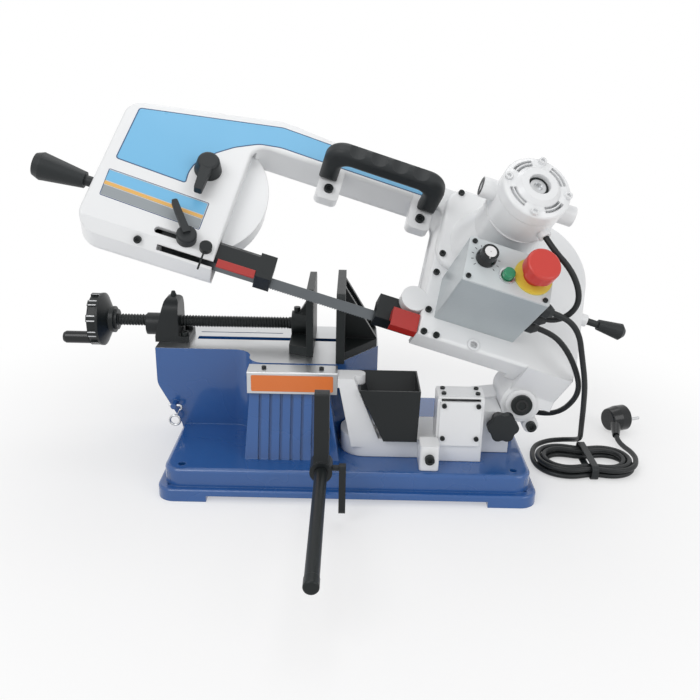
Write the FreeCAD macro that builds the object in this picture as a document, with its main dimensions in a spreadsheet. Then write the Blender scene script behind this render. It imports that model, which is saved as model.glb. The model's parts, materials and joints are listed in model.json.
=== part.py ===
"""Bench-standing metal-cutting band saw with a leaning swivel head, as an assembly of separate pieces.

Frame: X to the right along the blade, Y away from the operator, Z up. The origin lies on the bench,
in the middle of the four bench bolts. All lengths are millimetres, all angles degrees.
The head is drawn lowered, in the bow's own axes (u along the blade, v up the bow, w out of its front),
and is then leaned and raised to the pose that the saw rests in.
"""
import FreeCAD, Part
import math
import os
import re
from types import SimpleNamespace
from FreeCAD import Placement, Rotation, Vector

SIZES = dict(
    # Clearances shared by all fits
    running_gap=0.3, shaft_gap=0.05, overrun=3.0,
    # Axes of the machine
    swivel_x=22.0, blade_y=-40.0, blade_z=156.0, bow_lean=45.0,
    pivot_x=220.0, pivot_z=105.0, head_raise=17.0,
    # Tray of the base casting
    tray_length=470.0, tray_width=256.0, tray_height=40.0, tray_corner=22.0, tray_flange=16.0,
    tray_step=8.0, tray_round=5.0, flange_round=3.0, skirt_lift=8.0, foot_reach=62.0, tray_wall=13.0,
    tray_deck=8.0, rib=8.0,
    bolt_inset_x=30.0, bolt_inset_y=23.0, bolt_hole=9.0, foot_boss=26.0,
    # Pedestal and bed of the base casting
    bed_top=150.0, bed_left=-259.0, bed_right=38.0, bed_front=10.0, bed_back=114.0, bed_deck=18.0,
    end_step=99.0, end_foot=-228.0, end_round=24.0, nose_left=-130.0, nose_front=-38.0,
    nose_right=-18.0, nose_corner=22.0, nose_flare=24.0, skew_back=36.0, pedestal_wall=12.0,
    apron_top=121.0, apron_root=-30.0, apron_top_left=-125.0, apron_top_right=-25.0,
    apron_top_front=-62.0, apron_foot_left=-130.0, apron_foot_right=-10.0, apron_foot_front=-92.0,
    flute_width=3.4, flute_depth=3.0, flute_pitch=13.3, flute_margin=12.0,
    slot_width=12.0, slot_depth=14.0, slot_left=-210.0, slot_right=-17.0,
    scribe_y=78.0, scribe_width=2.5, scribe_depth=1.5, scribe_right=-95.0,
    # Swivel pin
    swivel_pin=20.0, swivel_pin_head=32.0, swivel_head_height=7.0, swivel_eye=32.0,
    # Hook on the left end of the base
    hook_x=-236.0, hook_z=71.5, hook_stub=8.0, hook_stub_reach=15.0, hook_wire=3.2,
    hook_width=14.0, hook_drop=22.0,
    # Vise screw, nut bracket and jaws
    vise_y=55.0, vise_z=174.0, vise_screw=16.0, screw_left=-322.0, screw_right=-58.0, screw_neck=10.0,
    nut_left=-264.0, nut_right=-218.0, nut_width=44.0, nut_foot=8.0, nut_top=210.0,
    nut_wall_left=-250.0, nut_wall_right=-232.0, nut_boss=30.0, nut_boss_reach=14.0, nut_boss_drop=5.0,
    nut_plug=9.0, nut_plug_height=6.0, nut_bolt=8.0, nut_bolt_head=11.0, nut_bolt_rise=5.0,
    jaw_face=-48.0, jaw_plate=9.0, jaw_front=-14.0, jaw_rear=100.0, jaw_top=238.0, jaw_back=-80.0,
    jaw_collar=34.0, jaw_foot=12.0, jaw_gusset=12.0,
    fixed_face=-18.0, fixed_plate=11.0, fixed_front=-36.0, fixed_rear=104.0, fixed_top=240.0,
    fixed_foot=10.0, fixed_gusset=10.0, fixed_gusset_y=42.0, fixed_gusset_step=46.0, fixed_inset=2.0,
    fixed_bolt=10.0, fixed_bolt_head=18.0, fixed_bolt_rise=8.0, fixed_bolt_y=66.0, fixed_bolt_x=18.0,
    # Handwheel and its crank handle
    wheel_left=-352.0, wheel_rim_width=15.0, handwheel_d=72.0, handwheel_web=9.0, wheel_bowl=5.0,
    handwheel_hub=28.0, handwheel_hub_right=-318.0, handwheel_collar=36.0, collar_width=6.0, lobe_depth=3.0,
    lobe_width=13.0, crank_radius=27.0, crank_handle=17.0, crank_neck=11.0, crank_length=42.0,
    crank_spindle=8.0, crank_start=-354.0, crank_seat=2.0,
    # Bar stop
    stop_x=-30.0, stop_z=75.0, stop_rod=14.5, stop_front=-393.0, stop_rear=-24.0, stop_cap=15.5,
    stop_cap_length=14.0, stop_y=-172.0, stop_collar=26.0, stop_collar_length=26.0, stop_arm_top=165.0,
    stop_arm_width=17.0, stop_arm_depth=20.0, stop_arm_lean=10.0, stop_stud=7.0, stop_stud_reach=15.0,
    stop_lever_length=58.0, stop_lever=9.0, stop_lever_end=17.0, stop_lever_width=8.0,
    # Swivel arm
    arm_floor=40.5, arm_deck=66.0, arm_front=-77.0, arm_back=-9.0, arm_right=206.0, lock_boss_x=100.0,
    lock_boss=24.0, lock_boss_front=-112.0, lock_boss_top=74.0, lock_bolt=12.0, lock_bolt_rise=6.0,
    web_thickness=12.0, web_top_left=-14.5, web_top_right=6.0, web_foot_left=4.0, web_foot_right=38.0,
    shelf_left=-119.0, shelf_right=20.0, shelf_low=134.0, shelf_front=-65.5, shelf_back=-46.0,
    rest_left=-127.0, rest_right=-15.0, rest_low=121.5, rest_sheet=4.0, rest_front=-70.0, rest_back=-42.5,
    rest_screw=6.0, rest_screw_rise=2.5, rest_screw_inset=20.0,
    box_left=109.0, box_right=167.0, box_front=-85.0, box_back=-52.0, box_top=126.0, box_wall=5.0,
    lid_sheet=3.0, cover_sheet=3.0, cover_gap=3.0, box_screw=6.0, box_screw_rise=2.5, box_screw_edge=8.0,
    chip_left=12.0, chip_right=88.0, chip_front=-85.0, chip_back=-14.0, chip_top=134.0, chip_low=66.0,
    chip_foot_left=44.0, chip_foot_right=86.0, chip_foot_back=-50.0, chip_wall=2.0,
    block_front=-58.0, block_top=98.0, ear_back=24.0, ear_radius=24.0, ear_web_left=150.0,
    # Head pivot
    pivot_shaft=20.0, pivot_cap=27.0, pivot_cap_rise=4.0, lug_front=-46.0, lug_back=-16.0, lug_radius=26.0,
    lug_ring=40.0, lug_ring_rise=4.0, neck_left=200.0, neck_right=260.0, neck_top=176.0, cheek_foot=119.0,
    star_x=195.0, star_z=82.0, star_knob=50.0, star_height=16.0, star_lobe=8.0, star_crest=3.5,
             star_root=16.0, star_valley=5.0, star_stud=8.0,
    star_neck=18.0, star_stud_depth=22.0, low_bolt_x=24.0, low_bolt_z=-25.0, low_lug=20.0, low_bolt=13.0,
    low_bolt_rise=7.0,
    # Bow casting
    bow_front=28.0, bow_rear=-15.0, bow_wall=6.0, bow_left=-366.0, bow_right=264.0, bow_low=-16.0,
             bow_corner=24.0,
    left_top_drop=12.0, kink_u=-173.0, kink_rise=35.0, spine_right=53.0, spine_rise=17.0,
    throat_left=-200.0, throat_right=56.0, throat_drop=16.0, throat_round=20.0, leg_low=-20.0,
    facet_v=-3.0, facet_w=15.0, trim_z=139.0, trim_right=186.0, bow_edge=4.0,
    wheel_radius=93.0, chamber_gap=2.0, channel_drop=8.0, channel_height=17.0,
    drum_wall=4.0, drum_front=8.0, drum_face=1.5, run_depth=12.0, run_rise=12.0, run_front=12.0,
             disc_u=45.0, disc_v=25.0, disc_d=34.0,
    ear_left_u=-95.0, ear_right_u=28.0, ear_drop=31.0, ear_half=15.0, ear_depth=14.0, ear_bolt=12.0,
    ear_bolt_rise=4.0, cover_plate=3.0, cover_inset=2.0,
    front_screw=8.0, front_screw_rise=3.0, washer_u=128.0, washer_v=-13.0, washer_d=16.0, washer_rise=1.5,
    bump_u=-291.0, bump_d=9.0, bump_rise=4.0,
    # Band wheels, blade and guides
    blade_width=13.0, blade_thickness=0.65, rim_low=-5.0, rim_high=6.0, rim_depth=9.0, web=6.0,
    hub_radius=17.0, hub_low=-8.0, hub_high=8.0, axle=20.0, axle_low=-11.0, axle_head=26.0,
    twist_lead_left=7.0, twist_lead_right=23.0, straight_left=-206.0, straight_right=58.0,
    gear_low=8.5, gear_high=18.5,
    tension_block_left=-300.0, tension_block_right=-218.0, tension_block_low=40.0, tension_block_top=140.0,
    tension_block_rear=11.5, tension_travel=4.0, tension_v=49.0, tension_w=16.0, tension_screw=8.0,
    tension_screw_end=-285.0, tension_neck=13.0, tension_neck_length=9.0, tension_knob_tip=-437.0,
    tension_knob_start=-376.0, tension_knob_small=20.0, tension_knob_big=34.0,
    latch_u=-244.0, latch_v=110.0, latch_hub=34.0, latch_hub_height=20.0, latch_length=44.0, latch_stud=8.0,
    latch_width=15.0, latch_tip=10.0, latch_thickness=10.0,
    guide_left=-268.0, guide_right=-129.0, guide_low=-2.0, guide_top=24.0, guide_rear=8.5,
             guide_travel=34.0,
    guide_stud_u=-238.0, guide_stud_v=7.0, guide_slot=9.0, guide_pad=20.0, guide_pad_low=-9.0,
    guide_pad_rear=-9.0, guide_slit=1.6, guide_bevel=6.0,
    clamp_hub=24.0, clamp_hub_height=13.0, clamp_length=46.0, clamp_width=9.0, clamp_thickness=8.0,
    side_knob_u=-213.0, side_knob_v=2.0, side_knob=15.0, side_knob_height=7.0, side_wire=2.4,
    side_wire_length=24.0,
    guard_sheet=1.6, guard_left=-196.0, guard_right=-149.5, guard_low=-13.0, guard_rear=6.9,
    right_guide_left=4.0, right_guide_right=54.0, right_guide_top=24.0, right_guide_front=16.0,
    right_guard_left=22.0, right_guard_right=55.7, right_guard_top=4.0, right_guard_low=-21.0,
    right_guard_front=29.6,
    # Gear case, motor and its cable entry
    motor_u=127.0, motor_v=125.0, case_left=57.0, case_right=186.0, case_low=78.0, case_top=202.0,
    case_round=26.0, case_flange=8.0, case_edge=4.0, case_neck=56.0, case_top_w=84.0, motor_d=82.0,
             motor_wall=4.0,
    motor_top_w=157.0, seam_ring=1.2, seam_width=2.0, bell_d=82.0, bell_w=180.0, bell_round=7.0,
    bell_dish=54.0, bell_dish_depth=5.0, bell_bore=26.0, bell_bore_depth=9.0, bell_screw=9.0,
    bell_screw_rise=3.0, bell_screw_radius=36.0, vent_radius=31.0, vent_width=3.0, vent_arc=46.0,
    vent_step=4.6, brush_cap=24.0, brush_reach=57.0, brush_w=144.5, brush_cap_bore=12.0,
    rotor_shaft=10.0, rotor_core=52.0, rotor_low_w=94.0, rotor_high_w=140.0, pinion_radius=10.4,
    case_bore=22.0, inlet_w=141.0, inlet_turn=-52.0, inlet_d=15.0, inlet_length=7.0,
    # Control box and controls
    panel_box_left=73.0, panel_box_right=177.0, panel_box_low=7.0, panel_box_top=66.0,
             panel_box_front=127.0,
    panel_box_wall=2.0, panel_sheet=2.0, panel_screw=6.0, panel_screw_rise=2.0, panel_screw_edge=6.0,
    speed_u=95.0, speed_v=42.0, speed_knob=24.0, speed_knob_top=20.0, speed_height=16.0, speed_skirt=4.0,
    start_u=123.0, start_v=29.0, start_button=14.0,
    start_height=9.0, start_travel=3.0, stem=6.0, stem_depth=14.0,
    stop_u=153.0, stop_v=38.0, stop_head=40.0, stop_head_height=16.0, stop_neck=24.0, stop_ring=46.0,
    stop_ring_height=2.0, stop_travel=6.0, stop_neck_height=16.0,
    gland_v=15.0, gland_a_w=107.0, gland_b_w=88.0, gland_c_w=65.0, gland_d=17.0, gland_nut=8.0,
             gland_cone=6.0,
    gland_tip=9.5,
    # Adjusting rod at the right end of the head
    feed_v=78.0, feed_w=16.0, feed_rod=9.0, feed_boss=16.0, feed_boss_reach=9.0,
    feed_neck_end=290.0, feed_tip=327.0, feed_knob_small=14.0, feed_knob_big=22.0,
    # Handle on the back-bone
    handle_left=-112.0, handle_right=45.0, handle_drop=20.0, handle_depth=22.0, handle_reach=62.0,
    handle_leg=24.0, handle_grip=25.0, handle_round=26.0, handle_inner_round=12.0, handle_edge=8.0,
    finger_radius=17.0, finger_depth=3.5,
    # Mains lead, hank, tie and plug
    cord=7.0, route_unit=100.0, hank_left=251.0, hank_right=392.0, hank_waist=325.0, hank_y=-16.0,
    hank_left_half=42.0, hank_right_half=40.0, hank_pinch=12.0, hank_step=8.7, hank_waist_half=32.0,
    hank_floor=5.3, hank_layer=8.0, tie_width=9.0, tie_wall=1.6,
    plug_x=399.0, plug_y=101.0, plug_z=19.5, plug_turn=21.0, plug_body=38.0, plug_length=30.0,
    relief_x=388.0, relief_y=60.0, relief_z=11.0, plug_neck=15.0, plug_neck_tip=10.0, plug_neck_length=24.0,
             plug_pin=4.8, plug_pin_length=19.0,
    plug_pin_span=19.0, plug_recess=3.0,
)
COUNTS = SimpleNamespace(tray_columns=6, tray_rows=3, bed_cells=3, flutes=6, rim_lobes=10, star_lobes=6,
                         fingers=4, cord_sides=8, hank_loops=5, twist_steps=5)

doc = FreeCAD.newDocument("band_saw")
sheet = doc.addObject("Spreadsheet::Sheet", "sizes")
for row, (name, value) in enumerate(SIZES.items(), start=1):
    sheet.set(f"A{row}", name)
    sheet.set(f"B{row}", str(value))
    sheet.setAlias(f"B{row}", name)
doc.recompute()
s = SimpleNamespace(**{name: float(sheet.get(name)) for name in SIZES})

# Places that follow from the driving sizes: the wheels fill the bow's ends,
# and the backbone goes over the blade's upper run
s.idler_u = s.bow_left + s.bow_wall + s.chamber_gap + s.wheel_radius
s.drive_u = s.bow_right - s.bow_wall - 2 * s.chamber_gap - s.wheel_radius
s.blade_top = 2 * s.wheel_radius
s.throat_top = s.blade_top - s.throat_drop
s.gear_radius = math.hypot(s.drive_u - s.motor_u,
                           s.wheel_radius - s.motor_v) - s.pinion_radius - s.running_gap

X, Y, Z = Vector(1, 0, 0), Vector(0, 1, 0), Vector(0, 0, 1)
STAND_XZ = Rotation(X, 90)
STAND_YZ = Rotation(Vector(1, 1, 1), 120)
NODES = []


def formula(text):
    """A formula in the sheet's words, as the document's expressions write it."""
    return re.sub(r"[a-z][a-z0-9_]*", lambda word: "sizes." + word.group(0), text)


def bind(thing, **formulas):
    for name, text in formulas.items():
        thing.setExpression(name, formula(text))
    return thing


def spot(x, y, z, turn=None):
    return Placement(Vector(x, y, z), turn or Rotation())


def rod(name, diameter, length, place):
    """A round bar along the place's own Z."""
    bar = doc.addObject("Part::Cylinder", name)
    bind(bar, Radius=f"({diameter}) / 2", Height=length)
    bar.Placement = place
    return bar


def taper(name, first, last, length, place):
    cone = doc.addObject("Part::Cone", name)
    bind(cone, Radius1=f"({first}) / 2", Radius2=f"({last}) / 2", Height=length)
    cone.Placement = place
    return cone


def block(name, length, width, height, place):
    box = doc.addObject("Part::Box", name)
    bind(box, Length=length, Width=width, Height=height)
    box.Placement = place
    return box


def rounded_edges(corners):
    """Straight edges and corner arcs of a closed outline, from (x, y, corner radius)."""
    starts, ends, arcs = [], [], []
    for i, (x, y, radius) in enumerate(corners):
        here = Vector(x, y, 0)
        before = Vector(*corners[i - 1][:2], 0) - here
        after = Vector(*corners[(i + 1) % len(corners)][:2], 0) - here
        before.normalize()
        after.normalize()
        half = before.getAngle(after) / 2
        reach = radius / math.tan(half)
        middle = before + after
        if radius:
            middle.normalize()
            arcs.append(here + middle * (radius / math.sin(half) - radius))
        else:
            arcs.append(None)
        ends.append(here + before * reach)
        starts.append(here + after * reach)
    edges = []
    for i in range(len(corners)):
        following = (i + 1) % len(corners)
        if (ends[following] - starts[i]).Length > 1e-6:
            edges.append(Part.LineSegment(starts[i], ends[following]))
        if arcs[following] is not None:
            edges.append(Part.Arc(ends[following], arcs[following], starts[following]))
    return edges


def sketch_on(body, role, edges):
    sketch = body.newObject("Sketcher::SketchObject", body.Name + "_outline")
    plane = [part for part in body.Origin.OriginFeatures if part.Role == role][0]
    sketch.AttachmentSupport = [(plane, "")]
    sketch.MapMode = "FlatFace"
    sketch.addGeometry(edges, False)
    return sketch


def plate(name, corners, thickness, place, holes=(), edge=None, both=False):
    """A padded outline of (x, y, corner radius) with (x, y, radius) holes; edge rounds its far face."""
    body = doc.addObject("PartDesign::Body", name)
    edges = rounded_edges(corners)
    edges += [Part.Circle(Vector(x, y, 0), Z, radius) for x, y, radius in holes]
    pad = body.newObject("PartDesign::Pad", name + "_pad")
    pad.Profile = sketch_on(body, "XY_Plane", edges)
    bind(pad, Length=thickness)
    body.Placement = place
    if edge:
        doc.recompute()
        ends = (0.0, pad.Shape.BoundBox.ZMax) if both else (pad.Shape.BoundBox.ZMax,)
        flat = [f"Face{i + 1}" for i, face in enumerate(pad.Shape.Faces)
                if face.BoundBox.ZLength < s.shaft_gap
                and min(abs(face.BoundBox.ZMax - end) for end in ends) < s.shaft_gap]
        rounding = body.newObject("PartDesign::Fillet", name + "_round")
        rounding.Base = (pad, flat)
        bind(rounding, Radius=edge)
    return body


def turned(name, profile, place):
    """A turned piece: profile is (radius, height, corner radius), turned about the place's own Z."""
    body = doc.addObject("PartDesign::Body", name)
    sketch = sketch_on(body, "XZ_Plane", rounded_edges(profile))
    spin = body.newObject("PartDesign::Revolution", name + "_turn")
    spin.Profile = sketch
    spin.ReferenceAxis = (sketch, ["V_Axis"])
    spin.Angle = 360
    body.Placement = place
    return body


def fuse(name, *pieces, place=None):
    joined = doc.addObject("Part::MultiFuse", name)
    joined.Shapes = list(pieces)
    joined.Placement = place or Placement()
    return joined


def cut(name, base, *tools, place=None):
    rest = doc.addObject("Part::Cut", name)
    rest.Base = base
    rest.Tool = tools[0] if len(tools) == 1 else fuse(name + "_tools", *tools)
    rest.Placement = place or Placement()
    return rest


def common(name, first, second, place=None):
    shared = doc.addObject("Part::Common", name)
    shared.Base = first
    shared.Tool = second
    shared.Placement = place or Placement()
    return shared


def group(name, pieces, place=None):
    """Identical small pieces that share one node, as separate solids."""
    together = doc.addObject("Part::Compound", name)
    together.Links = list(pieces)
    together.Placement = place or Placement()
    return together


def formed(name, shape, place=None):
    piece = doc.addObject("Part::Feature", name)
    piece.Shape = shape
    piece.Placement = place or Placement()
    return piece


def node(piece, name):
    piece.Label = name
    NODES.append(piece)
    return piece


def rectangle(left, low, right, high, radius=0.0):
    return [(left, low, radius), (right, low, radius), (right, high, radius), (left, high, radius)]


# The head's places: tilt takes the lowered head to its rest pose, bow takes (u, v, w) there as well
pivot = Vector(s.pivot_x, 0, s.pivot_z)
tilt = Placement(pivot, Rotation(Y, s.head_raise)) * Placement(-pivot, Rotation())
bow_in_low = Placement(Vector(0, s.blade_y, s.blade_z), Rotation(X, s.bow_lean))
bow = tilt * bow_in_low
low_in_bow = bow_in_low.inverse()
ALONG_U = Rotation(Y, 90)
ALONG_MINUS_U = Rotation(Y, -90)
TOWARD_FRONT = Rotation(X, 90)


def base_casting():
    half_x, half_y = s.tray_length / 2, s.tray_width / 2
    inner_x, inner_y = half_x - s.tray_step, half_y - s.tray_step
    deck_low = s.tray_height - s.tray_deck
    flange = plate("tray_flange_plate", rectangle(-half_x, -half_y, half_x, half_y, s.tray_corner),
                   "tray_flange", spot(0, 0, 0), edge="flange_round")
    deck = plate("tray_deck_plate", rectangle(-inner_x, -inner_y, inner_x, inner_y, s.tray_corner),
                 "tray_height - tray_flange", spot(0, 0, s.tray_flange), edge="tray_round")
    end = plate("pedestal_end", [(s.bed_left, s.bed_top, 0), (s.bed_left, s.end_step, s.end_round),
                                 (s.end_foot, s.tray_height, s.end_round), (s.end_foot, deck_low, 0),
                                 (s.nose_right, deck_low, 0), (s.nose_right, s.bed_top, 0)],
                "bed_back - bed_front", spot(0, s.bed_back, 0, STAND_XZ))
    flare = s.nose_left - s.nose_flare - s.overrun
    nose = plate("pedestal_nose", [(flare, s.bed_front, 0), (s.nose_left, s.bed_front, s.nose_flare),
                                   (s.nose_left, s.nose_front, s.nose_corner),
                                   (s.nose_right, s.nose_front, 0), (s.bed_right, s.skew_back, 0),
                                   (s.bed_right, s.bed_back, 0), (flare, s.bed_back, 0)],
                 "bed_top - tray_height + tray_deck", spot(0, 0, deck_low))
    apron = doc.addObject("Part::Wedge", "apron")
    bind(apron, Xmin="apron_foot_left", Xmax="apron_foot_right", X2min="apron_top_left",
         X2max="apron_top_right", Ymin="tray_height - tray_deck", Ymax="apron_top", Zmin="-apron_root",
         Zmax="-apron_foot_front", Z2min="-apron_root", Z2max="-apron_top_front")
    apron.Placement = spot(0, 0, 0, STAND_XZ)
    lean = math.atan2(s.apron_top_front - s.apron_foot_front, s.apron_top - deck_low)
    flutes = []
    for i in range(COUNTS.flutes):
        start = spot(s.apron_top_left + s.flute_margin + i * s.flute_pitch, s.apron_foot_front, deck_low,
                     Rotation(X, -math.degrees(lean)))
        flutes.append(block(f"flute_{i}", "flute_width", "2 * flute_depth", "apron_top",
                            start * spot(0, -s.flute_depth, s.tray_deck)))
    cells = []
    pitch_x = (s.tray_length - 2 * s.tray_wall + s.rib) / COUNTS.tray_columns
    pitch_y = (s.tray_width - 2 * s.tray_wall + s.rib) / COUNTS.tray_rows
    for i in range(COUNTS.tray_columns):
        for k in range(COUNTS.tray_rows):
            corner = spot(-half_x + s.tray_wall + i * pitch_x, -half_y + s.tray_wall + k * pitch_y,
                          -s.overrun)
            cell = block(f"tray_cell_{i}_{k}", "tray_wall", "tray_wall",
                         "tray_height - tray_deck + overrun",
                         corner)
            bind(cell, Length=f"(tray_length - 2 * tray_wall + rib) / {COUNTS.tray_columns} - rib",
                 Width=f"(tray_width - 2 * tray_wall + rib) / {COUNTS.tray_rows} - rib")
            cells.append(cell)
    pockets = []
    left = s.end_foot + s.pedestal_wall
    pocket_pitch = (s.nose_right - left) / COUNTS.bed_cells
    for i in range(COUNTS.bed_cells):
        pocket = block(f"bed_pocket_{i}", "rib", "bed_back - bed_front - 2 * pedestal_wall",
                       "bed_top - bed_deck", spot(left + i * pocket_pitch, s.bed_front + s.pedestal_wall,
                                                  0))
        bind(pocket, Length=f"(nose_right - end_foot - pedestal_wall) / {COUNTS.bed_cells} - rib")
        pockets.append(pocket)
    feet, holes = [], []
    for i in (-1, 1):
        for k in (-1, 1):
            x, y = i * (half_x - s.bolt_inset_x), k * (half_y - s.bolt_inset_y)
            feet.append(rod(f"foot_boss_{i + 1}_{k + 1}", "foot_boss", "tray_height", spot(x, y, 0)))
            holes.append(rod(f"bench_hole_{i + 1}_{k + 1}", "bolt_hole", "tray_height + 2 * overrun",
                             spot(x, y, -s.overrun)))
    lift_x = block("skirt_gap_x", "tray_length - 2 * foot_reach", "tray_width + 2 * overrun",
                   "skirt_lift + overrun", spot(-half_x + s.foot_reach, -half_y - s.overrun, -s.overrun))
    lift_y = block("skirt_gap_y", "tray_length + 2 * overrun", "tray_width - 2 * foot_reach",
                   "skirt_lift + overrun", spot(-half_x - s.overrun, -half_y + s.foot_reach, -s.overrun))
    pin_boss = rod("pin_boss", "2 * swivel_eye", "tray_height - skirt_lift",
                   spot(s.swivel_x, s.blade_y, s.skirt_lift))
    hollow = cut("base_hollow", fuse("base_mass", flange, deck, end, nose, apron), *cells, *pockets)
    stub = rod("hook_stub_rod", "hook_stub", "hook_stub_reach + pedestal_wall",
               spot(s.hook_x, s.bed_front + s.pedestal_wall, s.hook_z, TOWARD_FRONT))
    solid = fuse("base_solid", hollow, pin_boss, stub, *feet)
    relief = rod("eye_relief", "2 * swivel_eye + 6 * running_gap",
                 "arm_deck - tray_height + 4 * running_gap",
                 spot(s.swivel_x, s.blade_y, s.tray_height))
    pin_hole = rod("pin_hole", "swivel_pin", "tray_height + 2 * overrun",
                   spot(s.swivel_x, s.blade_y, -s.overrun))
    slot = block("jaw_slot", "slot_right - slot_left", "slot_width", "slot_depth + overrun",
                 spot(s.slot_left, s.vise_y - s.slot_width / 2, s.bed_top - s.slot_depth))
    scribe = block("scribe_line", "scribe_right - slot_left", "scribe_width", "scribe_depth + overrun",
                   spot(s.slot_left, s.scribe_y, s.bed_top - s.scribe_depth))
    stop_bore = rod("stop_bore", "stop_rod + 2 * shaft_gap", "stop_rear - apron_foot_front + overrun",
                    spot(s.stop_x, s.stop_rear + s.running_gap, s.stop_z, TOWARD_FRONT))
    hook_eye = rod("hook_eye", "hook_wire + 4 * running_gap", "2 * hook_stub",
                   spot(s.hook_x - s.hook_stub, s.bed_front - 2 * s.hook_stub_reach / 3, s.hook_z, ALONG_U))
    return cut("base_cut", solid, lift_x, lift_y, relief, pin_hole, slot, scribe, stop_bore, hook_eye,
               *flutes, *holes)


def hook():
    """The wire clip that hangs in the stub on the base's left end."""
    half, drop, wire = s.hook_width / 2, s.hook_drop, s.hook_wire
    path = Part.Wire([
        Part.LineSegment(Vector(-half, 0, 0), Vector(half, 0, 0)).toShape(),
        Part.Arc(Vector(half, 0, 0), Vector(half + wire, 0, -wire), Vector(half, 0, -2 * wire)).toShape(),
        Part.LineSegment(Vector(half, 0, -2 * wire), Vector(wire, 0, -drop + half)).toShape(),
    ])
    clip = path.makePipeShell([Part.Wire(Part.Circle(Vector(-half, 0, 0), X, wire / 2).toShape())], True,
                              False)
    loop = Part.makeTorus(half, wire / 2)
    loop.Placement = spot(0, 0, -drop, STAND_XZ)
    return clip.fuse(loop)


def vise_nut_bracket():
    half = s.nut_width / 2
    side = plate("nut_side", [(s.nut_left, s.bed_top, 0), (s.nut_right, s.bed_top, 0),
                              (s.nut_right, s.bed_top + s.nut_foot, 0),
                              (s.nut_wall_right, s.bed_top + s.nut_foot, 0),
                              (s.nut_wall_right, s.nut_top, s.nut_foot),
                              (s.nut_wall_left, s.nut_top, s.nut_foot),
                              (s.nut_left, s.bed_top + s.nut_foot, 0)],
                 "nut_width", spot(0, s.vise_y + half, 0, STAND_XZ))
    front = plate("nut_front", [(s.vise_y - half, s.bed_top, 0), (s.vise_y + half, s.bed_top, 0),
                                (s.vise_y + half, s.nut_top, half - s.running_gap),
                                (s.vise_y - half, s.nut_top, half - s.running_gap)],
                  "nut_right - nut_left", spot(s.nut_left, 0, 0, STAND_YZ))
    barrel = rod("nut_barrel", "nut_boss", "nut_wall_right - nut_left + nut_boss_reach",
                 spot(s.nut_left - s.nut_boss_reach, s.vise_y, s.vise_z - s.nut_boss_drop, ALONG_U))
    bore = rod("nut_bore", "vise_screw + 2 * running_gap",
               "nut_right - nut_left + 2 * nut_boss_reach + overrun",
               spot(s.nut_left - s.nut_boss_reach - s.overrun, s.vise_y, s.vise_z, ALONG_U))
    node(cut("nut_bracket_cut", fuse("nut_mass", common("nut_wall", side, front), barrel), bore),
         "vise_nut_bracket")
    plug = taper("nut_plug_cone", "nut_plug", "nut_plug / 2", "nut_plug_height",
                 spot((s.nut_wall_left + s.nut_wall_right) / 2, s.vise_y, s.nut_top))
    bolts = [plug]
    for k in (-1, 1):
        bolts.append(rod(f"nut_bolt_head_{k + 1}", "nut_bolt_head", "nut_bolt_rise",
                         spot((s.nut_right + s.nut_wall_right) / 2, s.vise_y + k * s.nut_width / 3,
                              s.bed_top + s.nut_foot)))
    bolts.append(rod("fixed_bolt_head_rod", "fixed_bolt_head", "fixed_bolt_rise",
                     spot(s.fixed_bolt_x, s.fixed_bolt_y, s.bed_top + s.fixed_foot)))
    node(group("vise_bolt_group", bolts), "vise_bolts")


def moving_jaw():
    low = s.bed_top + s.running_gap
    face = plate("jaw_face_plate", [(s.jaw_front, low, 0), (s.jaw_rear, low, 0),
                                    (s.jaw_rear, s.jaw_top, s.jaw_foot),
                                    (s.jaw_front, s.jaw_top, s.jaw_foot)],
                 "jaw_plate", spot(s.jaw_face - s.jaw_plate, 0, 0, STAND_YZ))
    foot = plate("jaw_foot_plate", [(s.jaw_back, s.jaw_front + s.jaw_foot, 0), (s.jaw_face, s.jaw_front, 0),
                                    (s.jaw_face, s.jaw_rear, 0), (s.jaw_back, s.jaw_rear - s.jaw_foot, 0)],
                 "jaw_foot", spot(0, 0, low))
    collar = rod("jaw_collar_rod", "jaw_collar", "jaw_face - jaw_back",
                 spot(s.jaw_back, s.vise_y, s.vise_z, ALONG_U))
    rib = plate("jaw_rib", [(s.jaw_back, low, 0), (s.jaw_face, low, 0),
                            (s.jaw_face, s.jaw_top - s.jaw_foot, 0),
                            (s.jaw_back, s.vise_z, 0)],
                "jaw_gusset", spot(0, s.vise_y + s.jaw_gusset / 2, 0, STAND_XZ))
    key = block("jaw_key", "jaw_face - jaw_back", "slot_width - 2 * running_gap",
                "slot_depth - running_gap",
                spot(s.jaw_back, s.vise_y - s.slot_width / 2 + s.running_gap,
                     s.bed_top - s.slot_depth + 2 * s.running_gap))
    socket = rod("jaw_socket", "screw_neck + 2 * running_gap",
                 "screw_right - jaw_back + overrun + running_gap",
                 spot(s.jaw_back - s.overrun, s.vise_y, s.vise_z, ALONG_U))
    screw = rod("jaw_set_screw", "nut_plug", "nut_plug_height + running_gap",
                spot((s.jaw_back + s.jaw_face - s.jaw_plate) / 2 - s.jaw_plate / 2, s.vise_y,
                     s.vise_z + s.jaw_collar / 2 - s.running_gap))
    node(cut("jaw_cut", fuse("jaw_mass", face, foot, collar, rib, key, screw), socket), "moving_jaw")


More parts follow.
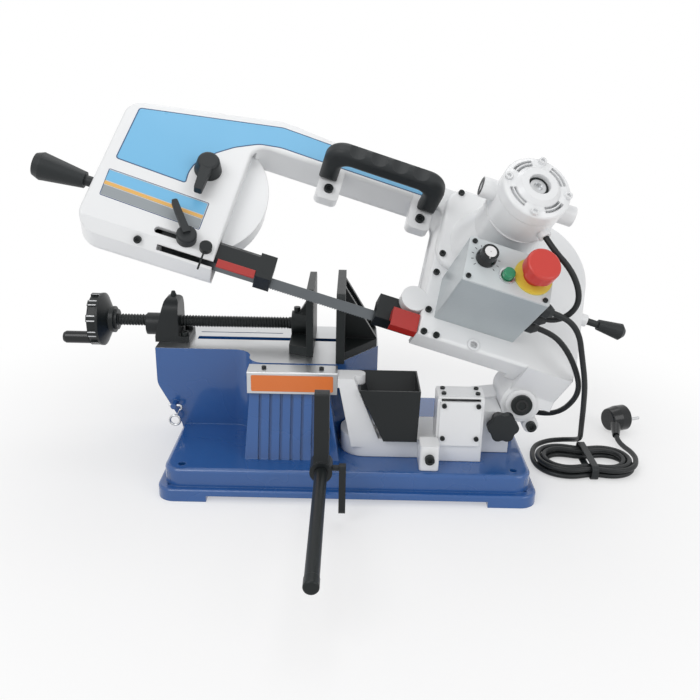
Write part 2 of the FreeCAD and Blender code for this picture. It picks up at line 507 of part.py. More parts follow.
def fixed_jaw():
    low = s.bed_top
    face = plate("fixed_face_plate", [(s.fixed_front, low, 0), (s.fixed_rear, low, 0),
                                      (s.fixed_rear, s.fixed_top, s.fixed_foot),
                                      (s.fixed_front, s.fixed_top, s.fixed_foot)],
                 "fixed_plate", spot(s.fixed_face, 0, 0, STAND_YZ))
    right = s.bed_right - s.fixed_inset
    foot = plate("fixed_foot_plate", [(s.fixed_face, s.fixed_front, 0), (right, s.skew_back, 0),
                                      (right, s.fixed_rear, 0), (s.fixed_face, s.fixed_rear, 0)],
                 "fixed_foot", spot(0, 0, low))
    pieces = [face, foot]
    for i in range(2):
        pieces.append(plate(f"fixed_rib_{i}", [(s.fixed_face, low, 0), (right, low, 0),
                                               (right, low + s.fixed_foot, 0),
                                               (s.fixed_face + s.fixed_plate, s.fixed_top - s.fixed_foot,
                                                0),
                                               (s.fixed_face, s.fixed_top - s.fixed_foot, 0)],
                            "fixed_gusset",
                            spot(0, s.fixed_gusset_y + i * s.fixed_gusset_step + s.fixed_gusset / 2, 0,
                                 STAND_XZ)))
    node(fuse("fixed_jaw_mass", *pieces), "fixed_jaw")


def vise_screw():
    thread = rod("screw_thread", "vise_screw", "jaw_back - running_gap - screw_left",
                 spot(s.screw_left, s.vise_y, s.vise_z, ALONG_U))
    tip = rod("screw_tip", "screw_neck", "screw_right - jaw_back + 2 * running_gap",
              spot(s.jaw_back - 2 * s.running_gap, s.vise_y, s.vise_z, ALONG_U))
    node(fuse("screw_mass", thread, tip), "vise_screw")
    rim = s.handwheel_d / 2
    hub, collar = s.handwheel_hub / 2, s.handwheel_collar / 2
    width, web = s.wheel_rim_width, s.handwheel_web
    depth = s.handwheel_hub_right - s.wheel_left
    wheel = turned("wheel_turn", [(0, s.wheel_bowl, 0), (rim - s.wheel_bowl, s.wheel_bowl, 0),
                                  (rim - s.lobe_depth, 0, 0),
                                  (rim, 0, 0), (rim, width, 0), (collar, width + web, 0),
                                  (collar, width + web + s.collar_width, 0),
                                  (hub, width + web + s.collar_width, 0),
                                  (hub, depth, 0), (0, depth, 0)],
                   spot(s.wheel_left, s.vise_y, s.vise_z, ALONG_U))
    notches = []
    for i in range(COUNTS.rim_lobes):
        turn = Rotation(X, 360.0 * (i + 0.5) / COUNTS.rim_lobes)
        place = spot(s.wheel_left - s.overrun, s.vise_y, s.vise_z, turn) * spot(0, -s.lobe_width / 2,
                                                                                rim - s.lobe_depth)
        notches.append(block(f"rim_notch_{i}", "wheel_rim_width - lobe_depth + overrun", "lobe_width",
                             "handwheel_d", place))
    bore = rod("wheel_bore", "vise_screw", "handwheel_hub_right - screw_left + overrun",
               spot(s.screw_left, s.vise_y, s.vise_z, ALONG_U))
    seat = rod("crank_hole", "crank_spindle", "wheel_rim_width + 2 * overrun",
               spot(s.wheel_left - s.overrun, s.vise_y, s.vise_z - s.crank_radius, ALONG_U))
    node(cut("handwheel_cut", wheel, bore, seat, *notches), "handwheel")
    length, grip, neck = s.crank_length, s.crank_handle / 2, s.crank_neck / 2
    pin = s.crank_spindle / 2 - s.shaft_gap
    handle = turned("crank_turn", [(0, 0, 0), (grip - s.crank_seat, 0, s.crank_seat),
                                   (grip, s.crank_seat * 2, 0), (grip, length - neck, 0),
                                   (neck, length, 0), (pin, length, 0),
                                   (pin, length + s.wheel_rim_width, 0),
                                   (0, length + s.wheel_rim_width, 0)],
                    spot(s.crank_start - length, s.vise_y, s.vise_z - s.crank_radius, ALONG_U))
    node(handle, "crank_handle")


def bar_stop():
    bar = rod("stop_bar", "stop_rod", "stop_rear - stop_front - stop_cap_length",
              spot(s.stop_x, s.stop_rear, s.stop_z, TOWARD_FRONT))
    cap = turned("stop_cap_turn", [(0, 0, 0), (s.stop_cap / 2, 0, 0),
                                   (s.stop_cap / 2, s.stop_cap_length, s.stop_arm_lean / 4),
                                   (0, s.stop_cap_length, 0)],
                 spot(s.stop_x, s.stop_front + s.stop_cap_length, s.stop_z, TOWARD_FRONT))
    node(fuse("stop_bar_mass", bar, cap), "stop_rod")
    half = s.stop_collar_length / 2
    collar = rod("stop_collar_rod", "stop_collar", "stop_collar_length",
                 spot(s.stop_x, s.stop_y + half, s.stop_z, TOWARD_FRONT))
    width = s.stop_arm_width / 2
    arm = plate("stop_arm_plate", [(-half, 0, 0), (half, 0, 0),
                                   (half + s.stop_arm_lean, s.stop_arm_top - s.stop_z, width),
                                   (half + s.stop_arm_lean - s.stop_arm_depth, s.stop_arm_top - s.stop_z,
                                    width / 2)],
                "stop_arm_width", spot(s.stop_x - width, s.stop_y, s.stop_z, STAND_YZ))
    bore = rod("stop_collar_bore", "stop_rod + 2 * shaft_gap", "stop_collar_length + 2 * overrun",
               spot(s.stop_x, s.stop_y + half + s.overrun, s.stop_z, TOWARD_FRONT))
    stud_hole = rod("stop_stud_hole", "stop_stud", "stop_collar",
                    spot(s.stop_x + s.stop_rod / 2, s.stop_y, s.stop_z, ALONG_U))
    node(cut("stop_arm_cut", fuse("stop_arm_mass", collar, arm), bore, stud_hole), "stop_arm")
    start = s.stop_x + s.stop_rod / 2 + s.running_gap
    reach = s.stop_collar / 2 - s.stop_rod / 2 + s.stop_stud_reach
    stud = rod("stop_stud_rod", "stop_stud - 2 * shaft_gap",
               "stop_collar / 2 - stop_rod / 2 + stop_stud_reach",
               spot(start, s.stop_y, s.stop_z, ALONG_U))
    thin, wide = s.stop_lever / 2, s.stop_lever_end / 2
    lever = plate("stop_lever_plate", [(-thin, thin, thin / 2), (-wide, -s.stop_lever_length, wide * 0.8),
                                       (wide, -s.stop_lever_length, wide * 0.8), (thin, thin, thin / 2)],
                  "stop_lever_width", spot(start + reach - s.stop_lever_width, s.stop_y, s.stop_z,
                                           STAND_YZ))
    node(fuse("stop_lever_mass", stud, lever), "stop_clamp_lever")


def swivel_arm():
    eye = s.swivel_eye
    boss = s.lock_boss / 2
    deck = plate("arm_deck_plate", [(s.swivel_x - eye, s.blade_y + eye, eye - s.running_gap),
                                    (s.swivel_x - eye, s.arm_front, eye - s.running_gap),
                                    (s.lock_boss_x - boss, s.arm_front, 0),
                                    (s.lock_boss_x - boss, s.lock_boss_front, boss / 2),
                                    (s.lock_boss_x + boss, s.lock_boss_front, boss / 2),
                                    (s.lock_boss_x + boss, s.box_front, 0), (s.box_right, s.box_front, 0),
                                    (s.box_right, s.block_front, 0), (s.arm_right, s.block_front, boss / 2),
                                    (s.arm_right, s.arm_back, 0)],
                 "arm_deck - arm_floor", spot(0, 0, s.arm_floor))
    lock = plate("lock_boss_plate", rectangle(s.lock_boss_x - boss, s.lock_boss_front, s.lock_boss_x + boss,
                                              s.box_front, boss / 3),
                 "lock_boss_top - arm_floor", spot(0, 0, s.arm_floor))
    web_low = (s.arm_floor + s.arm_deck) / 2
    shelf_top = s.bed_top - s.rest_sheet
    web = plate("arm_web", [(s.web_foot_left, web_low, 0), (s.web_foot_right, web_low, 0),
                            (s.web_foot_right, s.arm_deck, 0),
                            (s.web_top_right, shelf_top, 0), (s.web_top_left, shelf_top, 0)],
                "web_thickness", spot(0, s.arm_front + s.web_thickness, 0, STAND_XZ))
    half = (s.shelf_back - s.shelf_front) / 2
    shelf = plate("arm_shelf", [(s.shelf_left, s.shelf_front, 0),
                                (s.shelf_right, s.shelf_front, half - s.running_gap),
                                (s.shelf_right, s.shelf_back, half - s.running_gap),
                                (s.shelf_left, s.shelf_back, 0)],
                  "bed_top - rest_sheet - shelf_low", spot(0, 0, s.shelf_low))
    tongue = block("arm_tongue", "web_top_right - web_top_left", "shelf_front - arm_front + web_thickness",
                   "bed_top - rest_sheet - shelf_low", spot(s.web_top_left, s.arm_front, s.shelf_low))
    casing = block("switch_casing", "box_right - box_left", "box_back - box_front", "box_top - arm_floor",
                   spot(s.box_left, s.box_front, s.arm_floor))
    stand = block("arm_block", "arm_right - box_right", "arm_back - block_front", "block_top - arm_floor",
                  spot(s.box_right, s.block_front, s.arm_floor))
    ear_front = s.lug_back + s.running_gap
    knuckle = rod("arm_knuckle", "2 * ear_radius", "ear_back - lug_back - running_gap",
                  spot(s.pivot_x, s.ear_back, s.pivot_z, TOWARD_FRONT))
    ear = plate("arm_ear", [(s.ear_web_left, s.arm_floor, 0), (s.pivot_x, s.arm_floor, 0),
                            (s.pivot_x, s.pivot_z, 0), (s.box_right, s.block_top, 0),
                            (s.ear_web_left, s.arm_deck, 0)],
                "ear_back - lug_back - running_gap", spot(0, s.ear_back, 0, STAND_XZ))
    cavity = block("switch_cavity", "box_right - box_left - 2 * box_wall",
                   "box_back - box_front - box_wall + overrun",
                   "box_top - arm_deck + overrun",
                   spot(s.box_left + s.box_wall, s.box_front - s.overrun, s.arm_deck))
    clear = rod("lug_clearance", "2 * lug_radius + 4 * running_gap",
                "lug_back - block_front + overrun + running_gap",
                spot(s.pivot_x, ear_front, s.pivot_z, TOWARD_FRONT))
    bore = rod("pivot_bore", "pivot_shaft", "ear_back - lug_back + 2 * overrun",
               spot(s.pivot_x, s.ear_back + s.overrun, s.pivot_z, TOWARD_FRONT))
    star_hole = rod("star_hole", "star_stud + 2 * shaft_gap", "star_stud_depth + overrun",
                    spot(s.star_x, s.block_front + s.star_stud_depth, s.star_z, TOWARD_FRONT))
    pin = rod("eye_bore", "swivel_pin + 2 * shaft_gap", "arm_deck - arm_floor + 2 * overrun",
              spot(s.swivel_x, s.blade_y, s.arm_floor - s.overrun))
    mass = fuse("arm_mass", deck, lock, web, shelf, tongue, casing, stand, knuckle, ear)
    node(cut("arm_cut", mass, cavity, clear, bore, star_hole, pin), "swivel_arm")


def swivel_pin():
    shank = rod("pin_shank", "swivel_pin", "arm_deck - skirt_lift + running_gap",
                spot(s.swivel_x, s.blade_y, s.skirt_lift))
    head = rod("pin_head", "swivel_pin_head", "swivel_head_height",
               spot(s.swivel_x, s.blade_y, s.arm_deck + s.running_gap))
    node(fuse("pin_mass", shank, head), "swivel_pin")


def arm_fittings():
    sheet_t = s.rest_sheet
    angle = plate("rest_angle", [(s.rest_front, s.rest_low, 0), (s.rest_front + sheet_t, s.rest_low, 0),
                                 (s.rest_front + sheet_t, s.bed_top - sheet_t, 0),
                                 (s.rest_back, s.bed_top - sheet_t, 0),
                                 (s.rest_back, s.bed_top, 0), (s.rest_front, s.bed_top, sheet_t / 2)],
                  "rest_right - rest_left", spot(s.rest_left, 0, 0, STAND_YZ))
    node(angle, "front_rest_plate")
    screws = []
    for i, x in enumerate((s.rest_left + s.rest_screw_inset, s.rest_right - s.rest_screw_inset)):
        screws.append(rod(f"rest_screw_{i}", "rest_screw", "rest_screw_rise",
                          spot(x, (s.shelf_front + s.shelf_back) / 2, s.bed_top)))
    cover = plate("cover_plate", rectangle(s.box_left + s.cover_gap, s.arm_deck - s.cover_gap,
                                           s.box_right - s.cover_gap,
                                           s.box_top - s.cover_gap, s.cover_gap),
                  "cover_sheet", spot(0, s.box_front, 0, STAND_XZ))
    node(cover, "switch_box_cover")
    lid = plate("lid_plate", rectangle(s.box_left, s.box_front, s.box_right, s.box_back, s.cover_gap),
                "lid_sheet",
                spot(0, 0, s.box_top))
    node(lid, "switch_box_lid")
    edge = s.box_screw_edge
    heads = screws
    for i, x in enumerate((s.box_left + edge, s.box_right - edge)):
        for k, z in enumerate((s.arm_deck + edge, s.box_top - edge)):
            heads.append(rod(f"cover_screw_{i}_{k}", "box_screw", "box_screw_rise",
                             spot(x, s.box_front - s.cover_sheet, z, TOWARD_FRONT)))
        for k, y in enumerate((s.box_front + edge, s.box_back - edge)):
            heads.append(rod(f"lid_screw_{i}_{k}", "box_screw", "box_screw_rise",
                             spot(x, y, s.box_top + s.lid_sheet)))
    bolt = rod("lock_bolt_head", "lock_bolt", "lock_bolt_rise",
               spot(s.lock_boss_x, s.lock_boss_front, (s.arm_floor + s.lock_boss_top) / 2, TOWARD_FRONT))
    node(group("arm_screw_group", heads + [bolt]), "arm_screws")
    chip_box()
    shaft = rod("pivot_rod", "pivot_shaft - 2 * shaft_gap",
                "ear_back - lug_front + lug_ring_rise + running_gap",
                spot(s.pivot_x, s.ear_back, s.pivot_z, TOWARD_FRONT))
    cap = rod("pivot_cap_disc", "pivot_cap", "pivot_cap_rise",
              spot(s.pivot_x, s.lug_front - s.lug_ring_rise - s.running_gap, s.pivot_z, TOWARD_FRONT))
    node(fuse("pivot_mass", shaft, cap), "pivot_shaft")
    low = s.star_height / 3
    corners = []
    for i in range(2 * COUNTS.star_lobes):
        turn = math.radians(180.0 * i / COUNTS.star_lobes)
        reach, bend = (s.star_knob / 2 + s.star_crest, s.star_lobe) if i % 2 == 0 else (s.star_root,
                                                                                        s.star_valley)
        corners.append((reach * math.cos(turn), reach * math.sin(turn), bend))
    crown = plate("star_crown", corners, "2 * star_height / 3",
                  spot(s.star_x, s.block_front - low, s.star_z, TOWARD_FRONT))
    neck = taper("star_neck_cone", "star_neck", "2 * star_root", "star_height / 3",
                 spot(s.star_x, s.block_front, s.star_z, TOWARD_FRONT))
    stud = rod("star_stud_rod", "star_stud", "star_stud_depth",
               spot(s.star_x, s.block_front + s.star_stud_depth, s.star_z, TOWARD_FRONT))
    node(fuse("star_mass", crown, neck, stud), "head_lock_knob")


def chip_box():
    """Funnel of sheet steel: an open tapered box with a tab to the arm's deck."""
    def funnel(name, shrink, top, low):
        wedge = doc.addObject("Part::Wedge", name)
        inset = f"{shrink} * chip_wall"
        bind(wedge, Xmin=f"chip_foot_left + {inset}", Xmax=f"chip_foot_right - {inset}",
             X2min=f"chip_left + {inset}",
             X2max=f"chip_right - {inset}", Ymin=low, Ymax=top, Zmin=f"-chip_foot_back + {inset}",
             Zmax=f"-chip_front - {inset}", Z2min=f"-chip_back + {inset}", Z2max=f"-chip_front - {inset}")
        wedge.Placement = spot(0, 0, 0, STAND_XZ)
        return wedge
    outside = funnel("chip_outside", "0", "chip_top", "chip_low")
    inside = funnel("chip_inside", "1", "chip_top + running_gap", "chip_low + chip_wall")
    node(cut("chip_box_cut", outside, inside), "chip_box")


def bow_outline():
    cap = s.bow_right - s.drive_u
    return [(s.bow_left, s.bow_low, s.bow_corner), (s.bow_left, s.blade_top - s.left_top_drop,
                                                    s.bow_corner),
            (s.kink_u, s.blade_top + s.kink_rise, s.bow_corner * 2),
            (s.spine_right, s.blade_top + s.spine_rise, s.bow_corner),
            (s.bow_right, s.wheel_radius + cap, cap - s.bow_corner), (s.bow_right, s.leg_low, s.bow_corner),
            (s.throat_right, s.leg_low, 0),
            (s.throat_right, s.throat_top, s.throat_round), (s.throat_left, s.throat_top, s.throat_round),
            (s.throat_left, s.bow_low, 0)]


def bow_frame():
    """The leaning C of the head: front wall, rim walls, chambers for both band wheels and the pivot lug."""
    depth = "bow_front - bow_rear"
    mass = plate("bow_mass", bow_outline(), depth, spot(0, 0, s.bow_rear), edge="bow_edge")
    disc = rod("guide_disc", "disc_d", "bow_front - bow_rear", spot(s.disc_u, s.disc_v, s.bow_rear))
    ear_v = s.throat_top - s.ear_drop
    ears = [plate(f"handle_ear_{i}", rectangle(u - s.ear_half, ear_v - s.ear_half, u + s.ear_half,
                                               s.throat_top + s.bow_wall, s.ear_half / 2),
                  "ear_depth", spot(0, 0, s.bow_front - s.ear_depth))
            for i, u in enumerate((s.ear_left_u, s.ear_right_u))]
    neck = plate("neck_plate", [(s.pivot_x - s.lug_radius, s.pivot_z, 0), (s.neck_right, s.pivot_z, 0),
                                (s.neck_right, s.neck_top, 0),
                                (s.neck_left, s.neck_top, 0),
                                (s.neck_left, s.pivot_z + s.lug_radius, s.bow_corner)],
                 "lug_back - lug_front", low_in_bow * spot(0, s.lug_back, 0, STAND_XZ))
    edge = bow_in_low.multVec(Vector(0, s.leg_low, s.bow_front))
    cheek = plate("neck_cheek", [(edge.y, edge.z, 0), (s.lug_front, s.cheek_foot, 0),
                                 (s.lug_back, s.cheek_foot, 0),
                                 (s.lug_back, s.neck_top, 0),
                                 (edge.y + s.neck_top - edge.z, s.neck_top, 0)],
                  "neck_right - neck_left", low_in_bow * spot(s.neck_left, 0, 0, STAND_YZ))
    lug = rod("pivot_lug", "2 * lug_radius", "lug_back - lug_front",
              low_in_bow * spot(s.pivot_x, s.lug_back, s.pivot_z, TOWARD_FRONT))
    ring = rod("pivot_ring", "lug_ring", "lug_ring_rise + running_gap",
               low_in_bow * spot(s.pivot_x, s.lug_front + s.running_gap, s.pivot_z, TOWARD_FRONT))
    toe = rod("low_lug_rod", "low_lug", "lug_back - lug_front - lug_ring_rise",
              low_in_bow * spot(s.pivot_x + s.low_bolt_x, s.lug_back - s.lug_ring_rise,
                                s.pivot_z + s.low_bolt_z, TOWARD_FRONT))
    feed_boss = rod("feed_boss_rod", "feed_boss", "feed_boss_reach + bow_wall",
                    spot(s.bow_right - s.bow_wall, s.feed_v, s.feed_w, ALONG_U))
    cavity = s.bow_front - s.bow_wall
    cuts = [rod("feed_hole", "feed_rod + 2 * shaft_gap", "feed_boss_reach + overrun",
                spot(s.bow_right, s.feed_v, s.feed_w, ALONG_U))]
    slack_u = s.idler_u + s.tension_travel
    for name, u in (("idler", s.idler_u), ("slack_idler", slack_u), ("drive", s.drive_u)):
        cuts.append(rod(f"{name}_chamber", "2 * wheel_radius + 2 * chamber_gap",
                        "bow_front - bow_wall - bow_rear + overrun",
                        spot(u, s.wheel_radius, s.bow_rear - s.overrun)))
    cuts.append(block("spine_channel",
                      "bow_right - bow_left - 2 * wheel_radius - 2 * bow_wall - 3 * chamber_gap",
                      "channel_height", "bow_front - bow_wall - bow_rear + overrun",
                      spot(s.idler_u, s.blade_top - s.channel_drop, s.bow_rear - s.overrun)))
    cuts.append(block("left_run",
                      "throat_left - bow_left - bow_wall - chamber_gap - wheel_radius + overrun",
                      "run_depth + run_rise", "guide_rear - bow_rear + overrun",
                      spot(s.idler_u, -s.run_depth, s.bow_rear - s.overrun)))
    cuts.append(block("right_run", "bow_right - bow_wall - 2 * chamber_gap - wheel_radius"
                      " - throat_right + disc_d + overrun",
                      "run_depth + run_rise", "run_front - bow_rear + overrun",
                      spot(s.throat_right - s.disc_d - s.overrun, -s.run_depth, s.bow_rear - s.overrun)))
    cuts.append(block("guide_channel", "throat_left - guide_left + guide_travel + 2 * overrun",
                      "guide_top - guide_low + 2 * running_gap",
                      "bow_front - bow_wall - guide_rear + running_gap",
                      spot(s.guide_left - s.guide_travel - s.overrun, s.guide_low - s.running_gap,
                           s.guide_rear - s.running_gap)))
    slot = s.guide_slot / 2
    cuts.append(plate("clamp_slot", rectangle(s.guide_stud_u - s.guide_travel - slot, s.guide_stud_v - slot,
                                              s.guide_stud_u + slot,
                                              s.guide_stud_v + slot, slot - s.running_gap),
                      "bow_wall + 2 * overrun", spot(0, 0, cavity - s.overrun)))
    latch = s.latch_stud / 2 + s.running_gap
    cuts.append(plate("latch_slot", rectangle(s.latch_u - latch, s.latch_v - latch,
                                              s.latch_u + s.tension_travel + latch,
                                              s.latch_v + latch, latch - s.shaft_gap),
                      "bow_wall + 2 * overrun", spot(0, 0, cavity - s.overrun)))
    cuts.append(rod("tension_hole", "tension_screw + 2 * shaft_gap", "bow_corner + overrun",
                    spot(s.bow_left - s.overrun, s.tension_v, s.tension_w, ALONG_U)))
    cuts.append(rod("axle_hole", "axle", "bow_wall + overrun",
                    spot(s.drive_u, s.wheel_radius, cavity - s.overrun)))
    cuts.append(rod("shaft_hole", "rotor_shaft + 2 * shaft_gap", "bow_wall + 2 * overrun",
                    spot(s.motor_u, s.motor_v, cavity - s.overrun)))
    cuts.append(rod("lug_bore", "pivot_shaft + 2 * shaft_gap",
                    "lug_back - lug_front + 2 * overrun + lug_ring_rise",
                    low_in_bow * spot(s.pivot_x, s.lug_back + s.overrun, s.pivot_z, TOWARD_FRONT)))
    lower = s.bow_low - s.overrun
    cuts.append(plate("facet_wedge", [(s.facet_v + s.overrun, s.bow_front + s.overrun, 0),
                                      (lower, s.facet_w - s.overrun, 0),
                                      (lower, s.bow_front + s.overrun, 0)],
                      "throat_left - bow_left + 2 * overrun", spot(s.bow_left - s.overrun, 0, 0, STAND_YZ)))
    cuts.append(block("under_trim", "trim_right - throat_right + disc_d", "tray_width", "trim_z",
                      low_in_bow * spot(s.throat_right - s.disc_d, -s.tray_width / 2, 0)))
    cuts.append(block("guard_slot", "throat_left - guide_left + overrun",
                      "guide_low - guard_low + 2 * running_gap",
                      "bow_front - bow_wall - guide_rear + 2 * running_gap",
                      spot(s.guide_left, s.guard_low - s.running_gap, s.guide_rear - s.running_gap)))
    hollow = cut("bow_hollow", fuse("bow_solid", mass, disc, neck, cheek, lug, ring, toe, feed_boss, *ears),
                 *cuts)
    drum = rod("idler_drum", "2 * wheel_radius + 2 * chamber_gap + 2 * drum_wall", "drum_front - bow_rear",
               spot(slack_u, s.wheel_radius, s.bow_rear))
    room = rod("idler_room", "2 * wheel_radius + 2 * chamber_gap",
               "drum_front - drum_face - bow_rear + overrun",
               spot(slack_u, s.wheel_radius, s.bow_rear - s.overrun))
    zone = block("drum_zone", "wheel_radius", "2 * wheel_radius", "bow_front - bow_rear",
                 spot(s.throat_left - s.overrun, 0, s.bow_rear))
    bulge = common("drum_bulge", cut("drum_shell", drum, room), zone)
    return fuse("bow_casting", hollow, bulge, place=bow)


def bow_fittings():
    corners = bow_outline()
    inset = s.cover_inset
    middle_u = sum(corner[0] for corner in corners) / len(corners)
    back = [(u + (inset if u < middle_u else -inset), v, radius) for u, v, radius in corners]
    sheet_cover = plate("cover_sheet_plate", back, "cover_plate", spot(0, 0, s.bow_rear - s.cover_plate))
    trim = block("cover_trim", "trim_right - throat_right + disc_d + bow_corner * 4", "tray_width",
                 "trim_z + cover_plate",
                 low_in_bow * spot(s.throat_right - s.disc_d, -s.tray_width / 2, 0))
    neck, cheek, lug = (doc.getObject(name) for name in ("neck_plate", "neck_cheek", "pivot_lug"))
    disc = rod("cover_disc", "2 * wheel_radius + 2 * chamber_gap + 2 * drum_wall", "cover_plate",
               spot(s.idler_u + s.tension_travel, s.wheel_radius, s.bow_rear - s.cover_plate))
    node(cut("cover_cut", fuse("cover_mass", sheet_cover, disc), trim, neck, cheek, lug, place=bow),
         "blade_cover")
    screws = []
    for i, (u, v) in enumerate(((s.throat_right + s.front_screw, s.feed_v - s.front_screw),
                                (s.throat_right + s.front_screw, s.gland_v),
                                (s.throat_right + s.front_screw, s.washer_v - s.front_screw_rise),
                                (s.throat_right + s.front_screw * 3, s.washer_v - s.front_screw_rise))):
        screws.append(rod(f"front_screw_{i}", "front_screw", "front_screw_rise", spot(u, v, s.bow_front)))
    screws.append(rod("front_washer", "washer_d", "washer_rise", spot(s.washer_u, s.washer_v, s.bow_front)))
    bump_v = (s.facet_v + s.bow_low) / 2
    turn = low_in_bow.Rotation * TOWARD_FRONT
    screws.append(rod("facet_bolt", "bump_d", "bump_rise",
                      Placement(Vector(s.bump_u, bump_v, bump_v + s.bow_front - s.facet_v), turn)))
    screws.append(rod("low_bolt_head", "low_bolt", "low_bolt_rise",
                      low_in_bow * spot(s.pivot_x + s.low_bolt_x, s.lug_front, s.pivot_z + s.low_bolt_z,
                                        TOWARD_FRONT)))
    screws += [rod(f"ear_bolt_{i}", "ear_bolt", "ear_bolt_rise",
                   spot(u, s.throat_top - s.ear_drop, s.bow_front))
               for i, u in enumerate((s.ear_left_u, s.ear_right_u))]
    node(group("bow_screw_group", screws, place=bow), "bow_screws")


def carry_handle():
    left, right, low = s.handle_left, s.handle_right, 0.0
    handle_v = s.throat_top - s.handle_drop
    inner_left, inner_right = left + s.handle_leg, right - s.handle_leg
    grip_low = s.handle_reach - s.handle_grip
    bridge = plate("handle_bridge", [(left, low, 0), (left, s.handle_reach, s.handle_round),
                                     (right, s.handle_reach, s.handle_round),
                                     (right, low, 0), (inner_right, low, 0),
                                     (inner_right, grip_low, s.handle_inner_round),
                                     (inner_left, grip_low, s.handle_inner_round), (inner_left, low, 0)],
                   "handle_depth", spot(0, handle_v + s.handle_depth, s.bow_front, STAND_XZ),
                   edge="handle_edge", both=True)
    step = (inner_right - inner_left) / COUNTS.fingers
    dips = [rod(f"finger_{i}", "2 * finger_radius", "handle_depth + 2 * overrun",
                spot(inner_left + (i + 0.5) * step, handle_v + s.handle_depth + s.overrun,
                     s.bow_front + s.handle_reach + s.finger_radius - s.finger_depth, TOWARD_FRONT))
            for i in range(COUNTS.fingers)]
    node(cut("handle_cut", bridge, *dips, place=bow), "carry_handle")


def band_wheel(name, u):
    rim = s.wheel_radius - s.running_gap
    inner = rim - s.rim_depth
    middle = (s.rim_low + s.rim_high) / 2
    bore = s.axle / 2 + s.shaft_gap
    return turned(name + "_turn", [(bore, s.hub_low, 0), (s.hub_radius, s.hub_low, 0),
                                   (s.hub_radius, middle - s.web / 2, 0),
                                   (inner, middle - s.web / 2, 0), (inner, s.rim_low, 0),
                                   (rim, s.rim_low, 0),
                                   (rim, s.rim_high, 0), (inner, s.rim_high, 0),
                                   (inner, middle + s.web / 2, 0),
                                   (s.hub_radius, middle + s.web / 2, 0), (s.hub_radius, s.hub_high, 0),
                                   (bore, s.hub_high, 0)],
                  spot(u, s.wheel_radius, 0))


def drive():
    """Band wheel with its gear, the fixed axle, and the rotor with the pinion that drives the gear."""
    bore = s.axle / 2 + s.shaft_gap
    gear = turned("gear_turn", rectangle(bore, s.gear_low, s.gear_radius, s.gear_high),
                  spot(s.drive_u, s.wheel_radius, 0))
    hub = turned("gear_hub_turn", rectangle(bore, s.hub_high - s.overrun, s.hub_radius, s.gear_high),
                 spot(s.drive_u, s.wheel_radius, 0))
    node(fuse("drive_wheel_mass", band_wheel("drive_wheel", s.drive_u), hub, gear, place=bow),
         "drive_wheel")
    axle = rod("drive_axle_rod", "axle", "bow_front - axle_low",
               spot(s.drive_u, s.wheel_radius, s.axle_low))
    head = rod("drive_axle_head", "axle_head", "hub_low - axle_low - running_gap",
               spot(s.drive_u, s.wheel_radius, s.axle_low))
    node(fuse("drive_axle_mass", axle, head, place=bow), "drive_axle")
    shaft, core = s.rotor_shaft / 2, s.rotor_core / 2
    tip = s.bell_w - s.bell_bore_depth - s.running_gap
    profile = [(0, s.gear_low, 0), (s.pinion_radius, s.gear_low, 0), (s.pinion_radius, s.gear_high, 0),
               (shaft, s.gear_high, 0),
               (shaft, s.rotor_low_w, 0), (core, s.rotor_low_w, 0), (core, s.rotor_high_w, 0),
               (shaft, s.rotor_high_w, 0),
               (shaft, tip, 0), (0, tip, 0)]
    node(turned("rotor_turn", profile, bow * spot(s.motor_u, s.motor_v, 0)), "motor_rotor")


